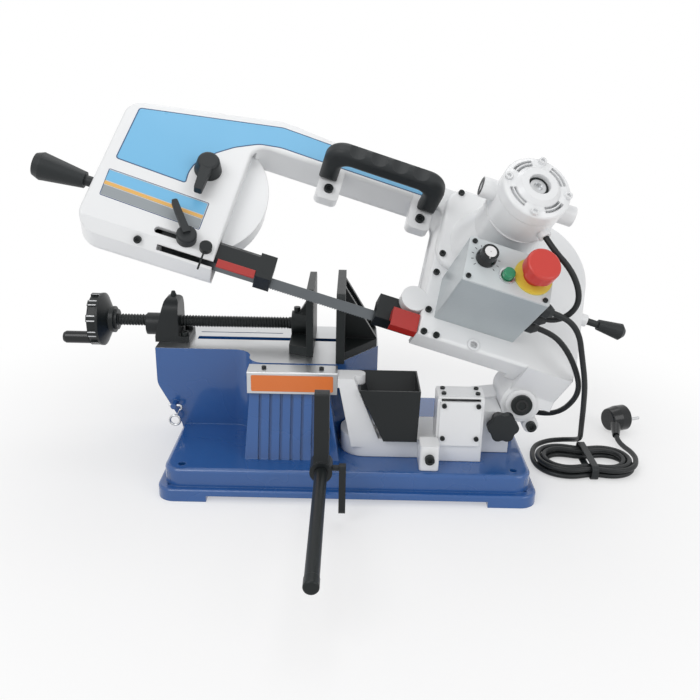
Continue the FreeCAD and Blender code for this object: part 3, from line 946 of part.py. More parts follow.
def tension():
    cavity = s.bow_front - s.bow_wall
    front = cavity - s.running_gap
    slab = plate("tension_slab", rectangle(s.tension_block_left, s.tension_block_low, s.tension_block_right,
                                           s.tension_block_top, s.rib),
                 "bow_front - bow_wall - running_gap - tension_block_rear",
                 spot(0, 0, s.tension_block_rear))
    stub = rod("idler_stub", "axle", "tension_block_rear - axle_low + overrun",
               spot(s.idler_u, s.wheel_radius, s.axle_low))
    head = rod("idler_stub_head", "axle_head", "hub_low - axle_low - running_gap",
               spot(s.idler_u, s.wheel_radius, s.axle_low))
    hole = rod("tension_thread", "tension_screw + 2 * shaft_gap", "bow_corner",
               spot(s.tension_block_left - s.overrun, s.tension_v, s.tension_w, ALONG_U))
    stud_hole = rod("latch_thread", "latch_stud + 2 * shaft_gap", "bow_wall + overrun",
                    spot(s.latch_u, s.latch_v, front - s.bow_wall))
    node(cut("tension_cut", fuse("tension_mass", slab, stub, head), hole, stud_hole, place=bow),
         "idler_carriage")
    idler = band_wheel("idler_wheel", s.idler_u)
    idler.Placement = bow * idler.Placement
    node(idler, "idler_wheel")
    reach = s.tension_screw_end - s.bow_left
    small, big = s.tension_knob_small / 2, s.tension_knob_big / 2
    neck = s.tension_neck / 2
    start = s.bow_left - s.tension_knob_start
    tip = s.bow_left - s.tension_knob_tip
    knob = turned("tension_turn", [(0, -reach, 0), (s.tension_screw / 2, -reach, 0),
                                   (s.tension_screw / 2, s.running_gap, 0), (neck, s.running_gap, 0),
                                   (neck, start, 0), (small, start, 0), (big, tip - big / 2, 0),
                                   (big * 0.8, tip, 0), (0, tip, 0)],
                  bow * spot(s.bow_left, s.tension_v, s.tension_w, ALONG_MINUS_U))
    node(knob, "tension_knob")
    half, end = s.latch_width / 2, s.latch_tip / 2
    hub = turned("latch_hub_turn", [(0, 0, 0), (s.latch_hub / 2, 0, 0),
                                    (s.latch_hub / 2 - s.latch_stud / 2, s.latch_hub_height,
                                     s.latch_stud / 2), (0, s.latch_hub_height, 0)],
                 spot(s.latch_u, s.latch_v, s.bow_front + s.running_gap))
    bar = plate("latch_bar", [(-half, 0, 0), (-end, -s.latch_length, end / 2),
                              (end, -s.latch_length, end / 2), (half, 0, 0)],
                "latch_thickness", spot(s.latch_u, s.latch_v,
                                        s.bow_front + s.latch_hub_height - s.latch_thickness))
    stud = rod("latch_stud_rod", "latch_stud", "bow_wall + bow_wall + running_gap",
               spot(s.latch_u, s.latch_v, s.bow_front + s.running_gap - 2 * s.bow_wall))
    node(fuse("latch_mass", hub, bar, stud, place=bow), "tension_lock_lever")


def blade():
    """One endless band: flat on the wheels, twisted upright between the guides."""
    thick, half = s.blade_thickness, s.blade_width / 2
    high = s.blade_top
    twist_left, twist_right = s.idler_u + s.twist_lead_left, s.drive_u - s.twist_lead_right

    def band_side(offset):
        lift = s.wheel_radius
        left = Part.Arc(Vector(s.idler_u, -offset, 0), Vector(s.idler_u - lift - offset, lift, 0),
                        Vector(s.idler_u, high + offset, 0))
        right = Part.Arc(Vector(s.drive_u, high + offset, 0), Vector(s.drive_u + lift + offset, lift, 0),
                         Vector(s.drive_u, -offset, 0))
        return [Part.LineSegment(Vector(twist_left, -offset, 0), Vector(s.idler_u, -offset, 0)), left,
                Part.LineSegment(Vector(s.idler_u, high + offset, 0), Vector(s.drive_u, high + offset, 0)),
                right,
                Part.LineSegment(Vector(s.drive_u, -offset, 0), Vector(twist_right, -offset, 0))]

    ends = [Part.LineSegment(Vector(u, 0, 0), Vector(u, -thick, 0)) for u in (twist_left, twist_right)]
    rim = Part.Wire(Part.__sortEdges__([edge.toShape() for edge in band_side(0) + band_side(thick) + ends]))
    loop = Part.Face(rim).extrude(Vector(0, 0, s.blade_width))
    loop.translate(Vector(0, 0, -half))

    def section(u, turn):
        corners = [Vector(0, a * thick / 2, b * half) for a, b in ((-1, -1), (1, -1), (1, 1), (-1, 1))]
        place = Placement(Vector(u, -thick / 2, 0), Rotation(X, turn))
        points = [place.multVec(corner) for corner in corners]
        return Part.makePolygon(points + points[:1])

    def twist(start, end, first, last):
        steps = COUNTS.twist_steps
        wires = [section(start + (end - start) * i / steps,
                         first + (last - first) * i / steps) for i in range(steps + 1)]
        return Part.makeLoft(wires, True, True)

    upright = -s.bow_lean
    pieces = [twist(twist_left, s.straight_left, 0, upright),
              twist(s.straight_left, s.straight_right, upright, upright),
              twist(s.straight_right, twist_right, upright, 0)]
    whole = loop.multiFuse(pieces)
    print("blade length", round(2 * (s.drive_u - s.idler_u) + 2 * math.pi * s.wheel_radius, 1), "solids",
          len(whole.Solids))
    return whole.removeSplitter()


def guides():
    cavity = s.bow_front - s.bow_wall
    front = cavity - s.running_gap
    bevel = s.guide_bevel
    arm = plate("guide_arm_plate", [(s.guide_low, s.guide_rear, 0), (s.guide_low, front, 0),
                                    (s.guide_top - bevel, front, 0),
                                    (s.guide_top, front - bevel, 0), (s.guide_top, s.guide_rear, 0)],
                "guide_right - guide_left", spot(s.guide_left, 0, 0, STAND_YZ))
    pad = block("guide_pad_block", "guide_pad", "guide_top - guide_pad_low",
                "bow_front - bow_wall - running_gap - guide_pad_rear",
                spot(s.guide_right - s.guide_pad, s.guide_pad_low, s.guide_pad_rear))
    slit = block("guide_slit_cut", "guide_pad + 2 * overrun", "guide_slit", "4 * blade_width",
                 spot(s.guide_right - s.guide_pad - s.overrun, 0, 0))
    upright = spot(0, -s.blade_thickness / 2, 0, Rotation(X, -s.bow_lean))
    slit.Placement = upright * spot(s.guide_right - s.guide_pad - s.overrun, -s.guide_slit / 2,
                                    -3.5 * s.blade_width)
    stud_hole = rod("clamp_thread", "stem + 2 * shaft_gap", "bow_wall + overrun",
                    spot(s.guide_stud_u, s.guide_stud_v, front - s.bow_wall))
    node(cut("guide_cut", fuse("guide_mass", arm, pad), slit, stud_hole, place=bow), "left_guide_arm")
    guard = block("left_guard_plate", "guard_right - guard_left", "guide_low - guard_low", "guard_sheet",
                  spot(s.guard_left, s.guard_low, front - s.guard_sheet))
    lip = block("left_guard_lip", "guard_right - guard_left", "guard_sheet",
                "bow_front - bow_wall - running_gap - guide_rear",
                spot(s.guard_left, s.guide_low - s.guard_sheet, s.guide_rear))
    node(fuse("left_guard_mass", guard, lip, place=bow), "left_blade_guard")
    hub = turned("clamp_hub_turn", [(0, 0, 0), (s.clamp_hub / 2, 0, 0),
                                    (s.clamp_hub / 2, s.clamp_hub_height, s.overrun),
                                    (0, s.clamp_hub_height, 0)],
                 spot(s.guide_stud_u, s.guide_stud_v, s.bow_front + s.running_gap))
    half = s.clamp_width / 2
    lever_turn = Rotation(Z, s.bow_lean - s.head_raise / 2)
    lever_w = s.bow_front + s.clamp_hub_height - s.clamp_thickness / 2
    lever = plate("clamp_lever_bar", [(-half, 0, 0), (half, 0, 0), (half * 0.8, s.clamp_length, half / 2),
                                      (-half * 0.8, s.clamp_length, half / 2)],
                  "clamp_thickness", Placement(Vector(s.guide_stud_u, s.guide_stud_v, lever_w), lever_turn))
    stud = rod("clamp_stud_rod", "stem", "2 * bow_wall + running_gap",
               spot(s.guide_stud_u, s.guide_stud_v, s.bow_front + s.running_gap - 2 * s.bow_wall))
    node(fuse("clamp_mass", hub, lever, stud, place=bow), "guide_clamp_lever")
    side = rod("side_knob_rod", "side_knob", "side_knob_height",
               spot(s.side_knob_u, s.side_knob_v, s.bow_front))
    wire = rod("side_wire_rod", "side_wire", "side_wire_length + side_knob / 2",
               spot(s.side_knob_u, s.side_knob_v, s.bow_front + s.side_knob_height - s.side_wire,
                    Rotation(X, 90)))
    node(fuse("side_mass", side, wire, place=bow), "gauge_finger")
    bracket = block("right_bracket", "right_guide_right - right_guide_left",
                    "right_guide_top - guide_pad_low", "right_guide_front - guide_pad_rear",
                    spot(s.right_guide_left, s.guide_pad_low, s.guide_pad_rear))
    notch = rod("disc_notch", "disc_d + 2 * running_gap", "bow_front - bow_rear",
                spot(s.disc_u, s.disc_v, s.bow_rear))
    slit2 = block("right_slit", "right_guide_right - right_guide_left + 2 * overrun", "guide_slit",
                  "4 * blade_width", spot(0, 0, 0))
    slit2.Placement = upright * spot(s.right_guide_left - s.overrun, -s.guide_slit / 2,
                                     -3.5 * s.blade_width)
    node(cut("right_guide_cut", bracket, notch, slit2, place=bow), "right_guide")
    red = block("right_guard_plate", "right_guard_right - right_guard_left",
                "right_guard_top - right_guard_low", "guard_sheet",
                spot(s.right_guard_left, s.right_guard_low, s.right_guard_front - s.guard_sheet))
    under = block("right_guard_under", "right_guard_right - right_guard_left", "guard_sheet",
                  "right_guard_front - right_guide_front",
                  spot(s.right_guard_left, s.right_guard_low, s.right_guide_front))
    back = block("right_guard_strap", "right_guide_right - right_guard_left",
                 "right_guard_top - guide_pad_low", "right_guard_front - right_guide_front",
                 spot(s.right_guard_left, s.guide_pad_low, s.right_guide_front))
    bind(back, Length="throat_right - right_guard_left - 2 * running_gap")
    node(fuse("right_guard_mass", red, under, back, place=bow), "right_blade_guard")


def motor():
    barrel = s.motor_d / 2
    flange = plate("case_flange_plate", rectangle(s.case_left, s.case_low, s.case_right, s.case_top,
                                                  s.case_round), "case_flange",
                   spot(0, 0, s.bow_front), edge="case_edge")
    neck = taper("case_cone", "2 * case_neck", "motor_d", "case_top_w - bow_front - case_flange",
                 spot(s.motor_u, s.motor_v, s.bow_front + s.case_flange))
    hollow = rod("case_bore_rod", "case_bore", "case_top_w - bow_front + 2 * overrun",
                 spot(s.motor_u, s.motor_v, s.bow_front - s.overrun))
    trim = block("case_trim", "case_right - case_left + 2 * case_neck", "case_neck", "case_top_w",
                 spot(s.case_left - s.case_neck, s.panel_box_top + s.running_gap - s.case_neck,
                      s.bow_front))
    limit = plate("case_limit", rectangle(s.case_left, s.case_low - s.bow_wall, s.case_right, s.case_top,
                                          s.case_round), "case_top_w",
                  spot(0, 0, 0))
    body = common("case_body", fuse("case_mass", flange, neck), limit)
    node(cut("case_cut", body, hollow, trim, place=bow), "gear_case")
    heads = [rod(f"case_screw_{i}", "front_screw", "front_screw_rise",
                 spot(u, v, s.bow_front + s.case_flange))
             for i, (u, v) in enumerate(((s.case_left + 2 * s.front_screw, s.case_top - s.front_screw),
                                         (s.case_left + s.front_screw, s.case_low + 2 * s.front_screw)))]
    wall = barrel - s.motor_wall
    ring = barrel + s.seam_ring
    seam = s.case_top_w + (s.motor_top_w - s.case_top_w) / 2
    shell = turned("motor_turn", [(wall, s.case_top_w, 0), (barrel, s.case_top_w, 0), (barrel, seam, 0),
                                  (ring, seam, 0), (ring, seam + s.seam_width, 0),
                                  (barrel, seam + s.seam_width, 0), (barrel, s.motor_top_w, 0),
                                  (wall, s.motor_top_w, 0)], spot(s.motor_u, s.motor_v, 0))
    floor = rod("motor_floor", "motor_d - motor_wall", "motor_wall",
                spot(s.motor_u, s.motor_v, s.case_top_w))
    holders = [rod(f"brush_holder_{i}", "brush_cap", "brush_reach",
                   spot(s.motor_u, s.motor_v, s.brush_w, turn))
               for i, turn in enumerate((ALONG_U, ALONG_MINUS_U))]
    bores = [rod(f"brush_bore_{i}", "brush_cap_bore", "brush_reach + overrun",
                 spot(s.motor_u, s.motor_v, s.brush_w, turn))
             for i, turn in enumerate((ALONG_U, ALONG_MINUS_U))]
    room = rod("motor_room", "motor_d - 2 * motor_wall", "motor_top_w",
               spot(s.motor_u, s.motor_v, s.case_top_w + s.motor_wall))
    shaft = rod("motor_shaft_hole", "case_bore", "2 * motor_wall + overrun",
                spot(s.motor_u, s.motor_v, s.case_top_w - s.overrun))
    turn = Rotation(Z, s.inlet_turn)
    inlet_place = spot(s.motor_u, s.motor_v, s.inlet_w, turn * ALONG_U) * spot(0, 0, barrel - s.overrun)
    inlet_hole = rod("inlet_hole", "cord + 2 * running_gap", "inlet_length + 2 * overrun",
                     inlet_place * spot(0, 0, -s.overrun))
    boss = rod("inlet_boss", "inlet_d", "inlet_length + overrun", inlet_place)
    solid = cut("motor_hollow", fuse("motor_mass", shell, floor, boss, *holders), room, shaft)
    node(cut("motor_cut", solid, inlet_hole, *bores, place=bow), "motor_housing")
    caps = []
    plug_start = s.brush_reach - s.brush_cap_bore - s.overrun
    for i, side in enumerate((ALONG_U, ALONG_MINUS_U)):
        caps.append(rod(f"brush_plug_{i}", "brush_cap_bore - 2 * shaft_gap", "brush_cap_bore",
                        spot(s.motor_u, s.motor_v, s.brush_w, side) * spot(0, 0, plug_start)))
    node(group("brush_plug_group", caps, place=bow), "brush_caps")
    end_bell()
    node(group("motor_screw_group", heads + bell_screws() + panel_screws(), place=bow), "motor_screws")


def end_bell():
    edge, dish, bore = s.bell_d / 2, s.bell_dish / 2, s.bell_bore / 2
    low, high = s.motor_top_w, s.bell_w
    inner = edge - s.motor_wall
    profile = [(s.rotor_shaft / 2 + s.shaft_gap, low + s.motor_wall, 0), (inner, low + s.motor_wall, 0),
               (inner, low, 0), (edge, low, 0),
               (edge, high - s.bell_round, s.bell_round / 2),
               (edge - s.bell_round, high - s.bell_dish_depth, 0),
               (dish, high - s.bell_dish_depth, 0), (dish - s.bell_dish_depth, high, 0), (bore, high, 0),
               (bore, high - s.bell_bore_depth, 0), (s.rotor_shaft / 2 + s.shaft_gap,
                                                     high - s.bell_bore_depth, 0)]
    bell = turned("bell_turn", profile, spot(s.motor_u, s.motor_v, 0))
    cuts = []
    for i in range(4):
        for k in range(2):
            radius = s.vent_radius + (k - 0.5) * s.vent_step + s.vent_width / 2
            ring = turned(f"vent_ring_{i}_{k}", rectangle(radius - s.vent_width,
                                                          high - 2 * s.bell_dish_depth - s.overrun, radius,
                                                          high),
                          spot(s.motor_u, s.motor_v, 0))
            ring.Group[-1].Angle = s.vent_arc
            ring.Placement = spot(s.motor_u, s.motor_v, 0, Rotation(Z, 90.0 * i + (90.0 - s.vent_arc) / 2))
            cuts.append(ring)
    node(cut("bell_cut", bell, *cuts, place=bow), "motor_end_bell")


def bell_screws():
    heads = []
    for i in range(4):
        turn = math.radians(90.0 * i)
        heads.append(rod(f"bell_screw_{i}", "bell_screw", "bell_screw_rise",
                         spot(s.motor_u + s.bell_screw_radius * math.cos(turn),
                              s.motor_v + s.bell_screw_radius * math.sin(turn),
                              s.bell_w - s.bell_dish_depth)))
    return heads


def panel_screws():
    edge = s.panel_screw_edge
    face = s.panel_box_front + s.panel_sheet
    return [rod(f"panel_screw_{i}_{k}", "panel_screw", "panel_screw_rise", spot(u, v, face))
            for i, u in enumerate((s.panel_box_left + edge, s.panel_box_right - edge))
            for k, v in enumerate((s.panel_box_low + edge, s.panel_box_top - edge))]


def control_box():
    left, right, low, top = s.panel_box_left, s.panel_box_right, s.panel_box_low, s.panel_box_top
    outside = plate("box_outside", rectangle(left, low, right, top, s.panel_box_wall),
                    "panel_box_front - bow_front", spot(0, 0, s.bow_front))
    inside = block("box_inside", "panel_box_right - panel_box_left - 2 * panel_box_wall",
                   "panel_box_top - panel_box_low - 2 * panel_box_wall",
                   "panel_box_front - bow_front", spot(left + s.panel_box_wall, low + s.panel_box_wall,
                                                       s.bow_front + s.panel_box_wall))
    ports = [rod(f"gland_port_{i}", "gland_nut", "4 * panel_box_wall",
                 spot(right - 2 * s.panel_box_wall, s.gland_v, w, ALONG_U))
             for i, w in enumerate((s.gland_a_w, s.gland_b_w, s.gland_c_w))]
    node(cut("box_cut", outside, inside, *ports, place=bow), "control_box")
    front = s.panel_box_front
    holes = [(s.speed_u, s.speed_v, s.stem / 2 + s.shaft_gap),
             (s.start_u, s.start_v, s.start_button / 2 + s.running_gap),
             (s.stop_u, s.stop_v, s.stop_neck / 2 + s.running_gap)]
    node(plate("panel_plate", rectangle(left, low, right, top, s.panel_box_wall), "panel_sheet",
               bow * spot(0, 0, front), holes), "control_panel")
    face = front + s.panel_sheet
    knob, tip, stem = s.speed_knob / 2, s.speed_knob_top / 2, s.stem / 2
    node(turned("speed_turn", [(0, -s.stem_depth, 0), (stem, -s.stem_depth, 0), (stem, s.running_gap, 0),
                               (knob, s.running_gap, 0), (knob, s.speed_skirt, 0),
                               (tip, s.speed_skirt * 2, 0), (tip, s.speed_height, s.running_gap),
                               (0, s.speed_height, 0)],
                bow * spot(s.speed_u, s.speed_v, face)), "speed_knob")
    cap = s.start_button / 2
    node(turned("start_turn", [(0, -s.stem_depth, 0), (cap, -s.stem_depth, 0),
                               (cap, s.start_height, s.start_travel / 2), (0, s.start_height, 0)],
                bow * spot(s.start_u, s.start_v, face)), "start_button")
    neck, head = s.stop_neck / 2, s.stop_head / 2
    node(turned("stop_ring_turn", rectangle(neck + s.running_gap, 0, s.stop_ring / 2, s.stop_ring_height),
                bow * spot(s.stop_u, s.stop_v, face)), "emergency_stop_ring")
    bottom = s.stop_neck_height
    node(turned("stop_turn", [(0, -s.stem_depth, 0), (neck, -s.stem_depth, 0), (neck, bottom, 0),
                              (head, bottom, 0), (head, bottom + s.stop_head_height, s.overrun),
                              (0, bottom + s.stop_head_height, 0)], bow * spot(s.stop_u, s.stop_v, face)),
         "emergency_stop")
    glands = []
    for i, w in enumerate((s.gland_a_w, s.gland_b_w, s.gland_c_w)):
        place = bow * spot(s.panel_box_right, s.gland_v, w, ALONG_U)
        big, tip, cord = s.gland_d / 2, s.gland_tip / 2, s.cord / 2 + s.shaft_gap
        glands.append(turned(f"gland_{i}", [(cord, 0, 0), (big, 0, 0), (big, s.gland_nut, 0),
                                            (tip, s.gland_nut + s.gland_cone, 0),
                                            (cord, s.gland_nut + s.gland_cone, 0)], place))
    node(group("gland_group", glands), "cable_glands")


def feed_rod():
    neck, small, big = s.feed_rod / 2, s.feed_knob_small / 2, s.feed_knob_big / 2
    right = s.bow_right
    place = bow * spot(right, s.feed_v, s.feed_w, ALONG_U)
    end, tip = s.feed_neck_end - right, s.feed_tip - right
    node(turned("feed_turn", [(0, 0, 0), (neck, 0, 0), (neck, end, 0), (small, end, 0),
                              (big, tip - big / 2, 0), (big / 2, tip, 0), (0, tip, 0)], place),
         "feed_screw_knob")


def arc_between(start, tangent, end):
    """The arc from start to end that leaves along the tangent, or a straight edge where it has no turn."""
    chord = end - start
    along = Vector(chord)
    along.normalize()
    turn = tangent.getAngle(along)
    if turn < 1e-4:
        return Part.LineSegment(start, end).toShape()
    side = tangent - along * tangent.dot(along)
    side.normalize()
    middle = (start + end) * 0.5 + side * (chord.Length / 2 * math.tan(turn / 2))
    return Part.Arc(start, middle, end).toShape()


def biarc(start, first, end, last):
    """Two arcs from start to end that leave along first and arrive along last."""
    gap = end - start
    total = first + last
    spread = 2 * (1 - first.dot(last))
    if spread < 1e-6:
        reach = gap.dot(gap) / (4 * gap.dot(last))
    else:
        reach = (-gap.dot(total) + math.sqrt(gap.dot(total) ** 2 + spread * gap.dot(gap))) / spread
    joint = (start + end + (first - last) * reach) * 0.5
    heading = joint - (start + first * reach)
    heading.normalize()
    return [arc_between(start, first, joint), arc_between(joint, heading, end)]


def cord_tube(points, name):
    """A round tube on straight runs and the largest tangent arcs that its runs allow."""
    vectors = [Vector(*point) * s.route_unit for point in points]
    edges, radii, last = [], [], vectors[0]
    for before, here, after in zip(vectors, vectors[1:], vectors[2:]):
        back, on = before - here, after - here
        turn = math.pi - back.getAngle(on)
        reach = 0.45 * min(back.Length, on.Length)
        radii.append(reach / math.tan(turn / 2))
        back.normalize()
        on.normalize()
        entry, leave = here + back * reach, here + on * reach
        edges.append(Part.LineSegment(last, entry).toShape())
        edges.append(arc_between(entry, back * -1, leave))
        last = leave
    edges.append(Part.LineSegment(last, vectors[-1]).toShape())
    route = Part.Wire(edges)
    ring = Part.Wire(Part.Circle(vectors[0], vectors[1] - vectors[0], s.cord / 2).toShape())
    tube = route.makePipeShell([ring], True, False)
    section = math.pi * s.cord ** 2 / 4
    print(name, "radii", [round(radius) for radius in radii], "length", round(route.Length),
          "volume share", round(tube.Volume / (section * route.Length), 3))
    return tube


# Routes of the cords in the saw's own frame at rest, as shares of the route unit
MAINS_SHARES = ((2.228, -1.051, 2.477), (2.477, -1.051, 2.401), (2.7, -1.03, 2.2), (2.79, -0.97, 1.87),
                (2.87, -0.86, 1.51), (2.93, -0.7, 1.15), (3.0, -0.5, 0.82), (3.08, -0.27, 0.56),
                (3.17, 0, 0.36), (3.22, 0.26, 0.2), (3.1, 0.46, 0.1), (2.85, 0.51, 0.058),
                (2.62, 0.38, 0.053))
SWITCH_SHARES = ((2.142, -0.754, 2.193), (2.391, -0.754, 2.117), (2.6, -0.77, 1.93), (2.76, -0.82, 1.63),
                 (2.87, -0.66, 1.3), (2.81, -0.4, 0.97), (2.69, -0.17, 0.78), (2.5, 0.01, 0.72),
                 (2.36, 0.08, 0.7), (2.235, 0.08, 0.7))
MOTOR_SHARES = ((2.167, -0.72, 3.346), (2.273, -0.859, 3.168), (2.52, -0.98, 2.92), (2.64, -0.99, 2.61),
              (2.514, -0.916, 2.249), (2.189, -0.916, 2.348))
HANK_TURN = 16


def hank_node(count):
    """Place and heading of one node of the wound lead, eight to a loop, from its left end."""
    if count <= HANK_TURN:
        depth = count / 8
    elif count <= HANK_TURN + 4:
        depth = HANK_TURN / 8
    else:
        depth = (2 * HANK_TURN + 4 - count) / 8
    climb = min(max((count - HANK_TURN) / 4, 0), 1)
    shift = depth * s.hank_step
    left, right = s.hank_left + s.hank_left_half, s.hank_right - s.hank_right_half
    wide_left, wide_right = s.hank_left_half + s.hank_pinch, s.hank_right_half + s.hank_pinch
    span = right - left
    waist = left + (span ** 2 + wide_left ** 2 - wide_right ** 2) / (2 * span)
    rise = math.sqrt(wide_left ** 2 - (waist - left) ** 2)
    turn_left, turn_right = math.atan2(rise, waist - left), math.atan2(rise, waist - right)
    lobes = {0: (left, s.hank_left_half, math.pi), 1: (left, s.hank_left_half, -turn_left),
             3: (right, s.hank_right_half, -turn_right), 4: (right, s.hank_right_half, 0),
             5: (right, s.hank_right_half, turn_right), 7: (left, s.hank_left_half, turn_left)}
    height = s.hank_floor + climb * s.hank_layer
    side = count % 8
    if side in lobes:
        middle, radius, turn = lobes[side]
        place = Vector(middle + (radius - shift) * math.cos(turn),
                       s.hank_y + (radius - shift) * math.sin(turn), height)
        return place, Vector(-math.sin(turn), math.cos(turn), 0)
    sign = -1 if side == 2 else 1
    return Vector(waist, s.hank_y + sign * (rise - s.hank_pinch - shift), height), X * -sign


def plug_axes():
    """Middle of the plug's body, the tip of its strain relief, and the way its pins point."""
    middle = Vector(s.plug_x, s.plug_y, s.plug_z)
    tip = Vector(s.relief_x, s.relief_y, s.relief_z)
    pins = Vector(math.cos(math.radians(s.plug_turn)), math.sin(math.radians(s.plug_turn)), 0)
    return middle, tip, pins


def mains_hank():
    start = Vector(*MAINS_SHARES[-1]) * s.route_unit
    along = start - Vector(*MAINS_SHARES[-2]) * s.route_unit
    along.normalize()
    middle, tip, pins = plug_axes()
    inward = middle - tip
    inward.normalize()
    stops = [(start + along * s.cord, along)]
    stops += [hank_node(count) for count in range(2 * HANK_TURN + 5)]
    stops.append((tip - inward * s.cord, inward))
    edges = [Part.LineSegment(start, stops[0][0]).toShape()]
    for (here, first), (there, last) in zip(stops, stops[1:]):
        edges += biarc(here, first, there, last)
    edges.append(Part.LineSegment(stops[-1][0], tip + inward * s.cord).toShape())
    route = Part.Wire(edges)
    across = along.cross(Z)
    across.normalize()
    up = across.cross(along)
    ring = []
    for side in range(COUNTS.cord_sides):
        turn = 2 * math.pi * (side + 0.5) / COUNTS.cord_sides
        ring.append(start + (across * math.cos(turn) + up * math.sin(turn)) * (s.cord / 2))
    tube = route.makePipeShell([Part.makePolygon(ring + ring[:1])], True, False)
    points = route.discretize(Distance=s.cord / 2)
    apart = int(4 * 2)
    least = min((points[i] - points[k]).Length for i in range(len(points)) for k in range(i + apart,
                                                                                          len(points)))
    section = math.sin(2 * math.pi / COUNTS.cord_sides) * COUNTS.cord_sides / 2 * (s.cord / 2) ** 2
    print("hank length", round(route.Length), "least self gap", round(least - s.cord, 2),
          "volume share", round(tube.Volume / (section * route.Length), 3), "solids", len(tube.Solids))
    return tube


def hank_tie():
    wall = s.tie_wall
    wide = s.hank_waist_half + s.cord
    low, high = wall / 2, s.hank_floor + s.hank_layer + s.cord / 2 + wall
    outer = plate("tie_outer", rectangle(s.hank_y - wide - wall, low - wall / 2, s.hank_y + wide + wall,
                                         high + wall, s.cord),
                  "tie_width", spot(s.hank_waist - s.tie_width / 2, 0, 0, STAND_YZ))
    inner = plate("tie_inner", rectangle(s.hank_y - wide, low + wall / 2, s.hank_y + wide, high,
                                         s.cord - wall),
                  "tie_width + 2 * overrun", spot(s.hank_waist - s.tie_width / 2 - s.overrun, 0, 0,
                                                  STAND_YZ))
    node(cut("tie_cut", outer, inner), "hank_tie")


def mains_plug():
    middle, tip, pins = plug_axes()
    across = Rotation(Z, pins)
    half = s.plug_length / 2
    body = turned("plug_turn", [(0, -half, 0), (s.plug_body / 2 - s.overrun, -half, s.overrun),
                                (s.plug_body / 2, 0, 0),
                                (s.plug_body / 2, half, s.plug_recess / 2), (0, half, 0)],
                  Placement(middle, across))
    inward = middle - tip
    sleeve = Rotation(Z, inward)
    relief = taper("plug_relief", "plug_neck_tip", "plug_neck", "plug_neck_length", Placement(tip, sleeve))
    shank = rod("plug_shank", "plug_neck", "plug_body / 2",
                Placement(tip, sleeve) * spot(0, 0, s.plug_neck_length))
    entry = rod("plug_entry", "cord", "2 * cord", Placement(tip, sleeve) * spot(0, 0, -s.cord))
    holes, sticks = [], []
    sideways = Z.cross(pins)
    for i in (-1, 1):
        root = middle + sideways * (i * s.plug_pin_span / 2) + pins * (half - s.plug_recess)
        holes.append(rod(f"pin_socket_{i + 1}", "plug_pin", "2 * plug_recess", Placement(root, across)))
        sticks.append(rod(f"plug_pin_{i + 1}", "plug_pin", "plug_pin_length + plug_recess",
                          Placement(root, across)))
    node(cut("plug_cut", fuse("plug_mass", body, relief, shank), entry, *holes), "mains_plug")
    node(group("pin_group", sticks), "plug_pins")


def finish():
    doc.recompute()
    for thing in doc.Objects:
        if "Invalid" in thing.State or "Error" in thing.State:
            raise RuntimeError(f"{thing.Name} has failed: {thing.State}")
    os.makedirs("parts", exist_ok=True)
    for piece in NODES:
        shape = piece.Shape
        if shape.isNull() or not shape.isValid() or not shape.Solids:
            raise RuntimeError(f"{piece.Label} has no valid solid")
    for piece in NODES:
        piece.Shape.exportStep(f"parts/{piece.Label}.step")
    print(len(NODES), "nodes", sum(len(piece.Shape.Solids) for piece in NODES), "solids")


node(base_casting(), "base_casting")
swivel_pin()
clip = formed("hook_clip", hook())
clip.Placement = spot(s.hook_x, s.bed_front - 2 * s.hook_stub_reach / 3, s.hook_z)
node(clip, "hook_clip")
vise_nut_bracket()
moving_jaw()
fixed_jaw()
vise_screw()
bar_stop()
swivel_arm()
arm_fittings()
node(bow_frame(), "bow_frame")
bow_fittings()
carry_handle()
drive()
tension()
node(formed("blade_band", blade(), bow), "saw_blade")
guides()
motor()
control_box()
feed_rod()
node(formed("mains_drop", cord_tube(MAINS_SHARES, "mains lead")), "mains_lead")
node(formed("switch_lead", cord_tube(SWITCH_SHARES, "switch lead")), "switch_cable")
node(formed("motor_lead", cord_tube(MOTOR_SHARES, "motor lead")), "motor_cable")
node(formed("wound_lead", mains_hank()), "mains_hank")
hank_tie()
mains_plug()
finish()
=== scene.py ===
# %% [markdown]
# # Dressing a bench band saw
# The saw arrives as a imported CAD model: every casting, knob and screw is already in its true place.
# Blender adds what CAD leaves out: paint, bare steel, a thread, printed sheets and soft cords.
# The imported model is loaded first, because every later piece of the saw rides one of its bodies.

# %% Load the frame
import json
import math

